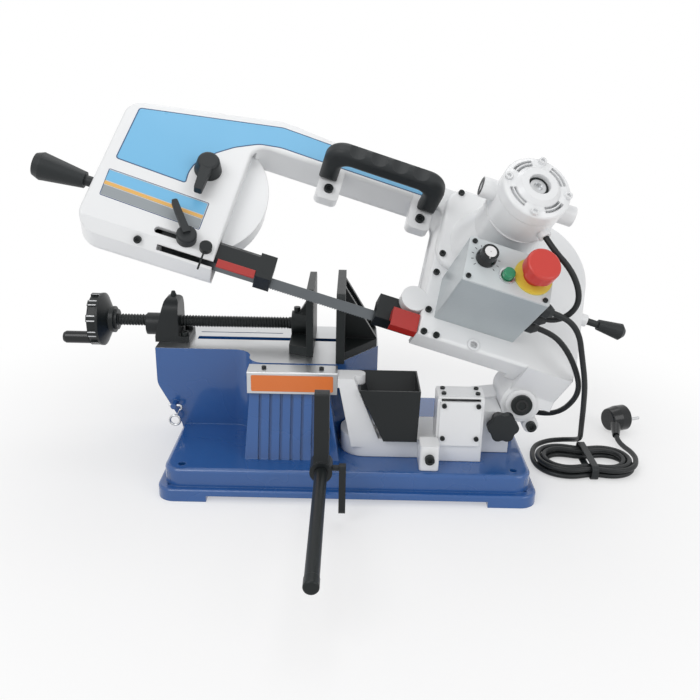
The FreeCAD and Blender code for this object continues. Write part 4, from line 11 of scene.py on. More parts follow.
import bmesh
import bpy
from mathutils import Matrix, Vector
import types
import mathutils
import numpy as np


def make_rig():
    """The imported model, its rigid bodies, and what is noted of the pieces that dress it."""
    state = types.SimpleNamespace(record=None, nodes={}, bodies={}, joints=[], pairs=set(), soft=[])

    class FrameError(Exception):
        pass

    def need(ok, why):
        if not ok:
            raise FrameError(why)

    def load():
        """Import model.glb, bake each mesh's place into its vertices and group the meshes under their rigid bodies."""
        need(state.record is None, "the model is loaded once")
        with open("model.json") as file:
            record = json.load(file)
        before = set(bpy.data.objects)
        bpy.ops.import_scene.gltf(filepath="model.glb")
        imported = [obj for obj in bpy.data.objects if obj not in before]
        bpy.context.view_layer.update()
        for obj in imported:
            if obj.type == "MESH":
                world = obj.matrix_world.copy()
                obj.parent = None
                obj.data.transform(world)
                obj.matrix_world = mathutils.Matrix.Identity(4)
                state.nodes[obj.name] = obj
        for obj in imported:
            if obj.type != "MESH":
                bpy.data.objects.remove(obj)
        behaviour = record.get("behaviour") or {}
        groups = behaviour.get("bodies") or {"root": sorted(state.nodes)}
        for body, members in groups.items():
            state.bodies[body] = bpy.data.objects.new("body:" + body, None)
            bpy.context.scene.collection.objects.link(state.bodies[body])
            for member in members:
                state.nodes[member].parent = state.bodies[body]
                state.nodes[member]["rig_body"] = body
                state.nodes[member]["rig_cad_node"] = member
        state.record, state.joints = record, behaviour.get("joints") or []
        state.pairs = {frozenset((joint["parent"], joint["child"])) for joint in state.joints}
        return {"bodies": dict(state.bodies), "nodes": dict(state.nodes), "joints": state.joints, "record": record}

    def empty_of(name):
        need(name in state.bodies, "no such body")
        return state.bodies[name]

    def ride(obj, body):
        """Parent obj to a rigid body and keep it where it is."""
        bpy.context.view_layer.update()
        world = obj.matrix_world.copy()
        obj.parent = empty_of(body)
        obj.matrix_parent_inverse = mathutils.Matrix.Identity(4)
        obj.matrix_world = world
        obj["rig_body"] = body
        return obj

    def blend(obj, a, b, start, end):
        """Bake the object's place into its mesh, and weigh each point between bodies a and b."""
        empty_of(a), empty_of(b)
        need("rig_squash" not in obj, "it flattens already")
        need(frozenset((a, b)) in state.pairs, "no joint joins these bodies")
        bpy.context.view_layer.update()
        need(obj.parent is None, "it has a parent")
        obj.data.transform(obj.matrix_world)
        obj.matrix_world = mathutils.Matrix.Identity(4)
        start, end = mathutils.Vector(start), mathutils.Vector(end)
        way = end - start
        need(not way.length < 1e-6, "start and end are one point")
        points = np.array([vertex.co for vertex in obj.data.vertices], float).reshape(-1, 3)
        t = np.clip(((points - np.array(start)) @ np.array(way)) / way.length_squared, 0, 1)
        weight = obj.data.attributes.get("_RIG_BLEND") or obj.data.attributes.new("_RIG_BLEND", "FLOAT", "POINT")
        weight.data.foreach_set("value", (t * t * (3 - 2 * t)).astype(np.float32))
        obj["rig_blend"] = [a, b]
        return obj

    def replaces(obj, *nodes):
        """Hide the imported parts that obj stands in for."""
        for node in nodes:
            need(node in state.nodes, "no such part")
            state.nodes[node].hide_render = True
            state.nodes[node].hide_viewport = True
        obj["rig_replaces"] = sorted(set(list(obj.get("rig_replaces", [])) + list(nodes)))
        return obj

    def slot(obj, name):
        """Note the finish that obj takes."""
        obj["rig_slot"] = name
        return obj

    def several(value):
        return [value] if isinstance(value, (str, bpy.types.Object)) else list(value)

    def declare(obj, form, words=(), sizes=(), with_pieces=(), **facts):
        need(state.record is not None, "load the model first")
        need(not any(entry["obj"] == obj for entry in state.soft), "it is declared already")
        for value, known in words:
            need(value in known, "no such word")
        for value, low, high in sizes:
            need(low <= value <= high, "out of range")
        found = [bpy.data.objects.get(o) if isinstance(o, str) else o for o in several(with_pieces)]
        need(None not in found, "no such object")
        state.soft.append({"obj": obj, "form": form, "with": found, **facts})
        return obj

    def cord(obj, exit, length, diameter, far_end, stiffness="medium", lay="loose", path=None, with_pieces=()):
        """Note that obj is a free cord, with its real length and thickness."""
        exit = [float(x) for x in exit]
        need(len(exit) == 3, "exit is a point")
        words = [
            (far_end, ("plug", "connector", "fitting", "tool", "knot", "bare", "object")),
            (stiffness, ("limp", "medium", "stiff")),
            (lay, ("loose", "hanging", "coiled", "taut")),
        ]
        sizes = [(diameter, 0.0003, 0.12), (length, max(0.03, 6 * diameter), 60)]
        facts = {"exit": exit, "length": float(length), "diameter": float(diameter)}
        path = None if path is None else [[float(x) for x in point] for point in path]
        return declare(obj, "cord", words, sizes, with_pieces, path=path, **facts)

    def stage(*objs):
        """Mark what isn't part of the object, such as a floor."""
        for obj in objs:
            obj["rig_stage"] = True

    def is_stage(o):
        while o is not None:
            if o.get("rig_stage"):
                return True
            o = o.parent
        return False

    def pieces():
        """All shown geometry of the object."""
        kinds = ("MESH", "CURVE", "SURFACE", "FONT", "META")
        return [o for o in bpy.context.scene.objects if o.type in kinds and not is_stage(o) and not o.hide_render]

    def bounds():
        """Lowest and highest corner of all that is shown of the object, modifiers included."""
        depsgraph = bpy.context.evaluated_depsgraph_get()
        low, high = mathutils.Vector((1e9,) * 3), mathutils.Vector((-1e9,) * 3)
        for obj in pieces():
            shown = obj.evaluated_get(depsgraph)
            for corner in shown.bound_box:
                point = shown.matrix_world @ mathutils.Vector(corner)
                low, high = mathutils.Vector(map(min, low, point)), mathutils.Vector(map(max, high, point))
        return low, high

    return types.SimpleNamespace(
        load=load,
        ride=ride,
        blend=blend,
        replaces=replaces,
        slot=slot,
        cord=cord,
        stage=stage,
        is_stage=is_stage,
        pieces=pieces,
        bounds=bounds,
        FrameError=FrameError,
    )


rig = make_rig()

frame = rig.load()
cad_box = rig.bounds()
nodes = frame["nodes"]
body_of = {node: body for body, names in frame["record"]["behaviour"]["bodies"].items() for node in names}
slot_of = {part["node"]: part["material_slot"] for part in frame["record"]["subparts"]}
scene = bpy.context.scene
MM = 0.001
print(len(nodes), "CAD nodes on", len(frame["bodies"]), "bodies;", len(slot_of), "nodes have a slot")

# %% [markdown]
# The head leans 45 degrees and is drawn raised, so nothing on it lies along X, Y or Z.
# Its pieces could be modelled slanted, but then no number could be read off a plain drawing.
# Instead one matrix holds the bow's own axes: u along the blade, v up the bow, w out of its front.
# Pieces of the head are modelled flat in those axes and carried into place by the matrix.

# %% The head's own axes
BLADE_START = Vector((0.0, -40.0, 156.0)) * MM
BOW_LEAN = math.radians(45)
HEAD_RAISE = math.radians(17)
PIVOT = Vector((220.0, 0.0, 105.0)) * MM

raised = Matrix.Translation(PIVOT) @ Matrix.Rotation(HEAD_RAISE, 4, "Y") @ Matrix.Translation(-PIVOT)
BOW = raised @ Matrix.Translation(BLADE_START) @ Matrix.Rotation(BOW_LEAN, 4, "X")
UPRIGHT = Matrix.Rotation(math.radians(90), 4, "X")


def in_bow(u, v, w):
    """The bow's axes, moved to a point that is given in them in millimetres."""
    return BOW @ Matrix.Translation(Vector((u, v, w)) * MM)


print("bow axes start at", tuple(round(value, 4) for value in BOW.translation))

# %% [markdown]
# The photograph is taken to look 20 degrees down on the front from about a metre away.
# A lens of about 40 mm on a 36 mm sensor then draws the tray and the bow in much the same perspective.
# The camera is rolled by about a degree, because the saw leans by that much in the picture.

# %% Camera
CAMERA_PLACE = (0.0, -0.967, 0.508)
CAMERA_DOWN = math.radians(20)
CAMERA_ROLL = math.radians(1.2)
LENS, SENSOR = 40.27, 36.0

eye = bpy.data.cameras.new("photo_camera")
eye.sensor_width = SENSOR
eye.lens = LENS
camera = bpy.data.objects.new("photo_camera", eye)
looking = Matrix.Rotation(math.pi / 2 - CAMERA_DOWN, 4, "X") @ Matrix.Rotation(CAMERA_ROLL, 4, "Z")
camera.matrix_world = Matrix.Translation(CAMERA_PLACE) @ looking
scene.collection.objects.link(camera)
scene.camera = camera
scene.view_settings.view_transform = "Standard"
print("camera at", CAMERA_PLACE)

# %% [markdown]
# A product photograph stands on a white sweep of paper. A plain white plane would show a horizon,
# so this one takes the saw's shadow near its middle and fades to even white further out.
# A helper makes a shader node together with its settings, because every material below needs several.

# %% White sweep
FLOOR_HALF = 4.0
FADE_FROM, FADE_TO, WHITE_AT_MIDDLE = 0.30, 0.75, 0.45
PAPER, PAPER_ROUGHNESS = (0.95, 0.95, 0.955, 1), 0.9


def add_node(tree, kind, values=None, **settings):
    """One shader node with its settings and the values of its unlinked sockets."""
    made = tree.nodes.new(kind)
    for name, value in settings.items():
        setattr(made, name, value)
    for name, value in (values or {}).items():
        made.inputs[name].default_value = value
    return made


def link_all(tree, pairs):
    """Link each output to the input beside it."""
    for start, end in pairs:
        tree.links.new(start, end)


floor_form = bmesh.new()
bmesh.ops.create_grid(floor_form, x_segments=1, y_segments=1, size=FLOOR_HALF)
floor_mesh = bpy.data.meshes.new("floor")
floor_form.to_mesh(floor_mesh)
floor_form.free()
floor = bpy.data.objects.new("floor", floor_mesh)
scene.collection.objects.link(floor)
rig.stage(floor)
floor_paint = bpy.data.materials.new("pale_floor")
floor_paint.use_nodes = True
floor_mesh.materials.append(floor_paint)
sweep = floor_paint.node_tree
paper = sweep.nodes["Principled BSDF"]
paper.inputs["Base Color"].default_value = PAPER
paper.inputs["Roughness"].default_value = PAPER_ROUGHNESS
where = add_node(sweep, "ShaderNodeTexCoord")
distance = add_node(sweep, "ShaderNodeVectorMath", operation="LENGTH")
fade_values = {"From Min": FADE_FROM, "From Max": FADE_TO, "To Min": WHITE_AT_MIDDLE}
fade = add_node(sweep, "ShaderNodeMapRange", fade_values, interpolation_type="SMOOTHSTEP")
plain_white = add_node(sweep, "ShaderNodeEmission")
both = add_node(sweep, "ShaderNodeMixShader")
link_all(sweep, (
    (where.outputs["Object"], distance.inputs[0]), (distance.outputs["Value"], fade.inputs["Value"]),
    (fade.outputs["Result"], both.inputs["Fac"]), (paper.outputs["BSDF"], both.inputs[1]),
    (plain_white.outputs["Emission"], both.inputs[2]),
    (both.outputs["Shader"], sweep.nodes["Material Output"].inputs["Surface"])))
print("sweep turns white between", FADE_FROM, "and", FADE_TO, "m")

# %% [markdown]
# Seen by the camera or mirrored in a gloss, the world round the saw is full white.
# On the paint it would wash out every form, so as a light it is dimmed and the lamps do the modelling.

# %% White world
AMBIENT = 0.4

world = bpy.data.worlds.new("studio")
world.use_nodes = True
scene.world = world
sky = world.node_tree
ray = add_node(sky, "ShaderNodeLightPath")
seen_or_mirrored = add_node(sky, "ShaderNodeMath", operation="MAXIMUM")
or_through = add_node(sky, "ShaderNodeMath", operation="MAXIMUM")
level = add_node(sky, "ShaderNodeMapRange", {"To Min": AMBIENT, "To Max": 1.0})
backdrop = sky.nodes["Background"]
backdrop.inputs["Color"].default_value = (1, 1, 1, 1)
link_all(sky, (
    (ray.outputs["Is Camera Ray"], seen_or_mirrored.inputs[0]),
    (ray.outputs["Is Glossy Ray"], seen_or_mirrored.inputs[1]),
    (seen_or_mirrored.outputs[0], or_through.inputs[0]),
    (ray.outputs["Is Transmission Ray"], or_through.inputs[1]),
    (or_through.outputs[0], level.inputs["Value"]), (level.outputs["Result"], backdrop.inputs["Strength"])))
print("world lights the paint at", AMBIENT)

# %% [markdown]
# Large area lamps give the soft shadows of a photo studio; small ones would draw hard edges on the floor.
# The key lamp stands at the front left, a weaker one fills from the right,
# and one lights the top from behind.

# %% Soft lamps
AIM = Vector((0, 0, 0.2))
LAMPS = {"key": ((-1.1, -1.5, 1.9), 1.4, 21.0), "fill": ((1.5, -1.3, 1.1), 1.2, 9.0),
         "top": ((0.1, 0.5, 2.1), 1.6, 12.0)}

for name, (place, size, watts) in LAMPS.items():
    lamp = bpy.data.lights.new(name, "AREA")
    lamp.size = size
    lamp.energy = watts
    stand = bpy.data.objects.new(name, lamp)
    facing_saw = (AIM - Vector(place)).to_track_quat("-Z", "Y").to_matrix().to_4x4()
    stand.matrix_world = Matrix.Translation(place) @ facing_saw
    scene.collection.objects.link(stand)
print(len(LAMPS), "soft lamps")

# %% [markdown]
# Three rubber cords leave the control box: the mains lead, the lead of the switch box and the motor's lead.
# A cord could be a chain of cylinders, but a real one has no corners, so each is one NURBS curve.
# The control points follow the routes of the CAD tubes. Order 3 keeps the curve close to its points.

# %% Cord routes
CORD_D = 7.0 * MM
MAINS_DROP = [(222.8, -105.1, 247.7), (247.7, -105.1, 240.1), (266, -103, 221), (275, -97, 188),
              (286, -86, 151), (293, -70, 115), (300, -50, 82), (308, -27, 56), (317, 0, 36), (322, 26, 20),
              (310, 46, 10), (286, 50, 5.8), (261, 31, 5.3)]
SWITCH_LEAD = [(214.2, -75.4, 219.3), (239.1, -75.4, 211.7), (260, -77, 193), (276, -82, 163),
               (287, -66, 130), (281, -40, 97), (269, -17, 78), (250, 1, 72), (236, 8, 70), (223.5, 8, 70)]
MOTOR_LEAD = [(216.7, -72, 334.6), (227.3, -85.9, 316.8), (252, -98, 292), (264, -99, 261),
              (256.7, -94.7, 240.1), (235.7, -91.6, 229.7), (218.9, -91.6, 234.8)]
print("routes of", len(MAINS_DROP), len(SWITCH_LEAD), "and", len(MOTOR_LEAD), "points")

# %% [markdown]
# Blender rounds a curve by its bevel depth. The round curve is turned into a mesh,
# because only a mesh can bend across a joint. The same curve with no section is the line to measure.

# %% From a route to a round cord
SECTION_STEPS, CURVE_STEPS, CURVE_ORDER = 4, 8, 3


def cord_curve(name, points, thick):
    """A NURBS curve along millimetre points, with a round section where thick is not zero."""
    line = bpy.data.curves.new(name, "CURVE")
    line.dimensions = "3D"
    line.bevel_depth = thick / 2
    line.bevel_resolution = SECTION_STEPS
    line.use_fill_caps = True
    line.resolution_u = CURVE_STEPS
    spline = line.splines.new("NURBS")
    spline.points.add(len(points) - 1)
    for point, place in zip(spline.points, points):
        point.co = (*(Vector(place) * MM), 1)
    spline.use_endpoint_u = True
    spline.order_u = CURVE_ORDER
    curve = bpy.data.objects.new(name, line)
    scene.collection.objects.link(curve)
    bpy.context.view_layer.update()
    return curve


def curve_mesh(curve):
    """The mesh of a curve, which is then removed."""
    mesh = bpy.data.meshes.new_from_object(curve)
    bpy.data.objects.remove(curve)
    return mesh


def cord_path(points):
    """Places along the NURBS line itself, read from the curve with no section."""
    return [vertex.co.copy() for vertex in curve_mesh(cord_curve("bare_line", points, 0)).vertices]


def cord_mesh(name, points):
    """The round cord as a mesh, and the path that it follows."""
    mesh = curve_mesh(cord_curve(name + "_curve", points, CORD_D))
    mesh.shade_smooth()
    tube = bpy.data.objects.new(name, mesh)
    scene.collection.objects.link(tube)
    return tube, cord_path(points)


def run_length(path):
    """Length of a path in metres."""
    return sum((there - here).length for here, there in zip(path, path[1:]))


print("switch lead:", round(run_length(cord_path(SWITCH_LEAD)), 3), "m")

# %% [markdown]
# The spare lead is wound into a flat figure of two lobes, tied at its waist, as leads are packed for sale.
# Every turn lies a little more than a cord's width inside the last one. After two turns the lead climbs
# and comes back outwards on top. A loop works the points out: ten on the lobes and two at the waist.

# %% Turns of the wound lead
HANK_LEFT, HANK_RIGHT, HANK_Y = 293.0, 352.0, -16.0
LEFT_HALF, RIGHT_HALF = 42.0, 40.0
HANK_STEP, HANK_FLOOR, HANK_LAYER = 8.7, 5.3, 8.0
WAIST_X, WAIST_HALF = 324.3, 32.0
TURNS_IN, CLIMB_TURNS = 2, 0.5
EIGHTH_TURN = math.pi / 4
ONE_TURN = (("left", 4), ("left", 5), ("left", 6), ("waist", -1), ("right", 6), ("right", 7), ("right", 0),
            ("right", 1), ("right", 2), ("waist", 1), ("left", 2), ("left", 3))
PLUG_TAIL = [(392.5, 8, 11.8), (390, 30, 8.2), (388, 48, 8), (388.6, 60, 10.4), (390.5, 68, 12.6)]


def hank_point(count):
    """One control point of the wound lead."""
    inward, climb = count / len(ONE_TURN), 0.0
    if inward > TURNS_IN:
        climb = min((inward - TURNS_IN) / CLIMB_TURNS, 1.0)
        inward = min(TURNS_IN, 2 * TURNS_IN + CLIMB_TURNS - inward)
    lobe, step = ONE_TURN[count % len(ONE_TURN)]
    height = HANK_FLOOR + climb * HANK_LAYER
    if lobe == "waist":
        return (WAIST_X, HANK_Y + step * (WAIST_HALF - inward * HANK_STEP), height)
    middle, half = (HANK_LEFT, LEFT_HALF) if lobe == "left" else (HANK_RIGHT, RIGHT_HALF)
    radius, turn = half - inward * HANK_STEP, step * EIGHTH_TURN
    return (middle + radius * math.cos(turn), HANK_Y + radius * math.sin(turn), height)


last_point = int((2 * TURNS_IN + CLIMB_TURNS) * len(ONE_TURN))
hank = [hank_point(count) for count in range(last_point + 1)]
print(len(hank), "control points in the wound lead")

# %% [markdown]
# When the head rises or swivels, a lead bends between what holds its two ends.
# One blend reaches across one joint only, so the drop is split half way down: the upper piece bends across
# the head's pivot, the lower one across the swivel. The split lies in the middle of a run,
# where both splines share one tangent, so no kink shows.

# %% Lay the cords
SPLIT = 5
middle = tuple((a + b) / 2 for a, b in zip(MAINS_DROP[SPLIT - 1], MAINS_DROP[SPLIT]))
upper_route = MAINS_DROP[:SPLIT] + [middle]
lower_route = [middle] + MAINS_DROP[SPLIT:] + hank + PLUG_TAIL

lead_upper, upper_path = cord_mesh("mains_lead_upper", upper_route)
lead_lower, lower_path = cord_mesh("mains_lead_lower", lower_route)
switch_lead, switch_path = cord_mesh("switch_lead", SWITCH_LEAD)
motor_lead, motor_path = cord_mesh("motor_lead", MOTOR_LEAD)
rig.blend(lead_upper, "head", "swivel_base", start=Vector((0, 0, 236)) * MM, end=Vector((0, 0, 150)) * MM)
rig.blend(lead_lower, "swivel_base", "base", start=Vector((0, 0, 130)) * MM, end=Vector((0, 0, 24)) * MM)
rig.blend(switch_lead, "head", "swivel_base", start=Vector((0, 0, 205)) * MM, end=Vector((0, 0, 84)) * MM)
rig.ride(motor_lead, "head")
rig.replaces(lead_upper, "mains_lead")
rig.replaces(lead_lower, "mains_hank")
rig.replaces(switch_lead, "switch_cable")
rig.replaces(motor_lead, "motor_cable")
CORDS = ((lead_upper, upper_path, "object", "hanging"), (switch_lead, switch_path, "object", "hanging"),
         (motor_lead, motor_path, "object", "hanging"), (lead_lower, lower_path, "plug", "coiled"))
for cord, path, end, lay in CORDS:
    on_it = [nodes["mains_plug"], nodes["plug_pins"], nodes["hank_tie"]] if end == "plug" else []
    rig.cord(cord, exit=path[0], length=run_length(path), diameter=CORD_D, far_end=end, lay=lay, path=path,
            with_pieces=on_it)
    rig.slot(cord, "cord_rubber")
    print(cord.name, round(run_length(path), 3), "m")

# %% [markdown]
# ## Finishes
# Paint, plastic and steel differ in colour and gloss, but all of them share three things a real surface
# has: slow changes of tone, a fine grain, and edges that are a little round and catch the light.
# Each material could repeat those nodes. One node group holds them instead, and each material sets it
# to its own values. The bevel node gives the round edges: where its normal leaves the face's own,
# an edge is near, and there the colour is lightened as a painted highlight.

# %% The shared surface group
COLOR, VALUE, VECTOR = "NodeSocketColor", "NodeSocketFloat", "NodeSocketVector"
SURFACE_INPUTS = {"Color": COLOR, "Tone": COLOR, "Edge Color": COLOR, "Edge Wear": VALUE,
                  "Edge Radius": VALUE, "Patch Scale": VALUE, "Grain Scale": VALUE, "Smooth": VALUE,
                  "Rough": VALUE}
SURFACE_OUTPUTS = {"Color": COLOR, "Roughness": VALUE, "Height": VALUE, "Normal": VECTOR}
NOISE = {"Detail": 2.0}
PATCH_SPREAD = {"From Min": 0.1, "From Max": 0.9}
EDGE_SPREAD = {"From Min": 0.985, "From Max": 0.85}
EDGE_SAMPLES = 4

surface = bpy.data.node_groups.new("made_surface", "ShaderNodeTree")
for name, kind in SURFACE_INPUTS.items():
    surface.interface.new_socket(name, in_out="INPUT", socket_type=kind)
for name, kind in SURFACE_OUTPUTS.items():
    surface.interface.new_socket(name, in_out="OUTPUT", socket_type=kind)
given = add_node(surface, "NodeGroupInput").outputs
result = add_node(surface, "NodeGroupOutput").inputs
spot = add_node(surface, "ShaderNodeTexCoord").outputs["Object"]
patches = add_node(surface, "ShaderNodeTexNoise", NOISE)
fine_grain = add_node(surface, "ShaderNodeTexNoise", NOISE)
soft = add_node(surface, "ShaderNodeMapRange", PATCH_SPREAD)
round_normal = add_node(surface, "ShaderNodeBevel", samples=EDGE_SAMPLES)
flat_normal = add_node(surface, "ShaderNodeNewGeometry")
# From here the edge mask lightens the colour near edges towards the edge colour: a painted highlight.
facing = add_node(surface, "ShaderNodeVectorMath", operation="DOT_PRODUCT")
edge = add_node(surface, "ShaderNodeMapRange", EDGE_SPREAD)
broken = add_node(surface, "ShaderNodeMath", operation="MULTIPLY")
highlit_edge = add_node(surface, "ShaderNodeMath", operation="MULTIPLY")
toned = add_node(surface, "ShaderNodeMix", data_type="RGBA")
edged = add_node(surface, "ShaderNodeMix", data_type="RGBA")
gloss = add_node(surface, "ShaderNodeMapRange")
print("surface group has", len(surface.nodes), "nodes")

# %% [markdown]
# The links say how the group works. Slow patches mix the colour with its tone and set the roughness.
# The edge mask is a painted highlight, broken up by the same patches so that it isn't an even line.

# %% Links of the surface group
link_all(surface, (
    (spot, patches.inputs["Vector"]), (given["Patch Scale"], patches.inputs["Scale"]),
    (spot, fine_grain.inputs["Vector"]), (given["Grain Scale"], fine_grain.inputs["Scale"]),
    (patches.outputs["Fac"], soft.inputs["Value"]), (soft.outputs["Result"], toned.inputs["Factor"]),
    (given["Color"], toned.inputs["A"]), (given["Tone"], toned.inputs["B"]),
    (given["Edge Radius"], round_normal.inputs["Radius"]),
    (round_normal.outputs["Normal"], facing.inputs[0]), (flat_normal.outputs["Normal"], facing.inputs[1]),
    (facing.outputs["Value"], edge.inputs["Value"]), (edge.outputs["Result"], broken.inputs[0]),
    (patches.outputs["Fac"], broken.inputs[1]), (broken.outputs[0], highlit_edge.inputs[0]),
    (given["Edge Wear"], highlit_edge.inputs[1]), (highlit_edge.outputs[0], edged.inputs["Factor"]),
    (toned.outputs["Result"], edged.inputs["A"]), (given["Edge Color"], edged.inputs["B"]),
    (patches.outputs["Fac"], gloss.inputs["Value"]), (given["Smooth"], gloss.inputs["To Min"]),
    (given["Rough"], gloss.inputs["To Max"]), (edged.outputs["Result"], result["Color"]),
    (gloss.outputs["Result"], result["Roughness"]), (fine_grain.outputs["Fac"], result["Height"]),
    (round_normal.outputs["Normal"], result["Normal"])))
print("surface group has", len(surface.links), "links")

# %% [markdown]
# A finish is that group plus a Principled shader. What is constant, such as metallic or the clear coat,
# stays on the shader's own socket.
# The blue of the base comes first: its coat gives the soft highlight of thick paint.

# %% How a finish is made
PATCH_SCALE, COAT_ROUGHNESS = 14.0, 0.08
FINISHES = {}


def finish(name, color, tone, edge_color, edge_highlight, smooth, rough, grain, depth,
           metallic=0.0, coat=0.0, radius=1.2, shine=0.5):
    """A procedural material: colours are linear, the edge radius and the grain's depth are millimetres."""
    material = bpy.data.materials.new(name)
    material.use_nodes = True
    tree = material.node_tree
    shader = tree.nodes["Principled BSDF"]
    skin = add_node(tree, "ShaderNodeGroup", node_tree=surface)
    # The edge colour and its amount make a painted highlight along the edges.
    for socket, value in (("Color", (*color, 1)), ("Tone", (*tone, 1)), ("Edge Color", (*edge_color, 1)),
                          ("Edge Wear", edge_highlight), ("Edge Radius", radius * MM), ("Patch Scale", PATCH_SCALE),
                          ("Grain Scale", grain), ("Smooth", smooth), ("Rough", rough)):
        skin.inputs[socket].default_value = value
    bump = add_node(tree, "ShaderNodeBump", {"Strength": 1.0, "Distance": depth * MM})
    for socket, value in (("Metallic", metallic), ("Coat Weight", coat), ("Coat Roughness", COAT_ROUGHNESS),
                          ("Specular IOR Level", shine)):
        shader.inputs[socket].default_value = value
    link_all(tree, (
        (skin.outputs["Color"], shader.inputs["Base Color"]),
        (skin.outputs["Roughness"], shader.inputs["Roughness"]),
        (skin.outputs["Height"], bump.inputs["Height"]), (skin.outputs["Normal"], bump.inputs["Normal"]),
        (bump.outputs["Normal"], shader.inputs["Normal"])))
    FINISHES[name] = material


finish("blue_enamel", (0.012, 0.082, 0.285), (0.015, 0.1, 0.33), (0.06, 0.18, 0.42),
       edge_highlight=0.5, smooth=0.2, rough=0.34, grain=380, depth=0.05, coat=0.6, radius=2.0)
print(list(FINISHES), "for the base")

# %% [markdown]
# The other enamels differ in grain and coat. The hammered grey has a coarse, deep grain,
# the white hardly any, and the black has no coat, so that it stays dark under the lamps.

# %% Enamels
finish("white_enamel", (0.82, 0.83, 0.84), (0.79, 0.80, 0.81), (0.86, 0.86, 0.87),
       edge_highlight=0.3, smooth=0.26, rough=0.40, grain=420, depth=0.04, coat=0.3, radius=2.0)
finish("hammered_grey", (0.42, 0.465, 0.485), (0.36, 0.40, 0.42), (0.52, 0.56, 0.57),
       edge_highlight=0.4, smooth=0.25, rough=0.42, grain=260, depth=0.22, coat=0.2, radius=1.6)
finish("red_enamel", (0.42, 0.02, 0.014), (0.34, 0.014, 0.011), (0.5, 0.05, 0.04),
       edge_highlight=0.4, smooth=0.3, rough=0.45, grain=500, depth=0.05, coat=0.2)
finish("black_enamel", (0.007, 0.009, 0.010), (0.011, 0.014, 0.015), (0.05, 0.055, 0.06),
       edge_highlight=0.5, smooth=0.28, rough=0.45, grain=420, depth=0.07, radius=1.4, shine=0.32)
print(len(FINISHES), "enamels")

# %% [markdown]
# Bare metal takes its colour from reflections, so its colours here are how much light it throws back.
# Blackened iron is only partly metallic, because its oxide hides the metal.
# The blade is darker than the machined bed.

# %% Metals
finish("blackened_iron", (0.010, 0.013, 0.013), (0.018, 0.022, 0.023), (0.12, 0.12, 0.12),
       edge_highlight=0.6, smooth=0.3, rough=0.5, grain=500, depth=0.06, metallic=0.3, shine=0.32)
finish("bright_steel", (0.62, 0.63, 0.64), (0.54, 0.55, 0.56), (0.78, 0.78, 0.78),
       edge_highlight=0.5, smooth=0.22, rough=0.40, grain=900, depth=0.02, metallic=1.0, radius=0.8)
finish("blade_steel", (0.16, 0.175, 0.185), (0.12, 0.13, 0.14), (0.35, 0.35, 0.35),
       edge_highlight=0.4, smooth=0.3, rough=0.45, grain=900, depth=0.02, metallic=1.0, radius=0.3)
print(len(FINISHES), "finishes so far")

# %% [markdown]
# Knobs and buttons are moulded plastic with a fine grain.
# The cords' rubber is about as dull as the black plastic.
# The blacks reflect less than the shader's usual share, or the white studio would turn them grey.

# %% Plastics and rubber
finish("panel_print", (0.60, 0.645, 0.66), (0.56, 0.60, 0.615), (0.66, 0.7, 0.71),
       edge_highlight=0.3, smooth=0.3, rough=0.42, grain=900, depth=0.01)
finish("black_plastic", (0.010, 0.013, 0.014), (0.015, 0.018, 0.02), (0.04, 0.045, 0.05),
       edge_highlight=0.4, smooth=0.38, rough=0.55, grain=900, depth=0.04, shine=0.35)
finish("gloss_black", (0.006, 0.007, 0.008), (0.008, 0.010, 0.011), (0.03, 0.03, 0.03),
       edge_highlight=0.3, smooth=0.12, rough=0.25, grain=700, depth=0.02, shine=0.4)
finish("red_plastic", (0.60, 0.045, 0.032), (0.53, 0.036, 0.027), (0.7, 0.12, 0.1),
       edge_highlight=0.3, smooth=0.25, rough=0.38, grain=900, depth=0.02)
finish("green_plastic", (0.02, 0.26, 0.12), (0.016, 0.21, 0.1), (0.06, 0.36, 0.2),
       edge_highlight=0.3, smooth=0.2, rough=0.32, grain=900, depth=0.02)
finish("yellow_plastic", (0.78, 0.62, 0.085), (0.73, 0.57, 0.07), (0.82, 0.68, 0.15),
       edge_highlight=0.3, smooth=0.3, rough=0.42, grain=900, depth=0.02)
finish("cord_rubber", (0.008, 0.010, 0.011), (0.012, 0.014, 0.015), (0.03, 0.03, 0.03),
       edge_highlight=0.2, smooth=0.38, rough=0.52, grain=900, depth=0.03, radius=0.3, shine=0.35)
print(len(FINISHES), "finishes so far")

# %% [markdown]
# Ink and printed film are flat: they have colour and a little gloss, but no grain and hardly any painted edge
# highlight.
# So a print is a finish with those values fixed, and only its colours and its gloss are chosen.

# %% Prints


def ink(name, color, tone, edge_color, smooth=0.24, rough=0.36):
    """A printed finish."""
    finish(name, color, tone, edge_color, edge_highlight=0.1, smooth=smooth, rough=rough, grain=900, depth=0.0)


ink("sky_print", (0.18, 0.49, 0.76), (0.165, 0.465, 0.73), (0.3, 0.6, 0.82))
ink("navy_print", (0.02, 0.06, 0.17), (0.024, 0.07, 0.19), (0.05, 0.1, 0.24))
ink("pale_label", (0.62, 0.65, 0.66), (0.58, 0.61, 0.625), (0.7, 0.72, 0.73), smooth=0.2, rough=0.32)
ink("amber_print", (0.78, 0.45, 0.12), (0.74, 0.42, 0.11), (0.8, 0.55, 0.2))
ink("grey_print", (0.30, 0.33, 0.35), (0.28, 0.31, 0.33), (0.4, 0.42, 0.44))
ink("orange_label", (0.76, 0.19, 0.035), (0.71, 0.17, 0.03), (0.8, 0.3, 0.1), smooth=0.25, rough=0.38)
ink("dark_ink", (0.02, 0.024, 0.027), (0.025, 0.03, 0.033), (0.05, 0.05, 0.05), smooth=0.4, rough=0.5)
ink("white_ink", (0.8, 0.8, 0.8), (0.75, 0.75, 0.75), (0.85, 0.85, 0.85), smooth=0.3, rough=0.4)
print(len(FINISHES), "finishes in all")

# %% [markdown]
# The record names a finish for every CAD node, so one loop paints the whole saw.
# The bell of the motor is painted white in the photograph, so it is the one node that gets another finish.

# %% Paint the nodes and the cords
LOOKS_LIKE = {"motor_end_bell": "white_enamel"}

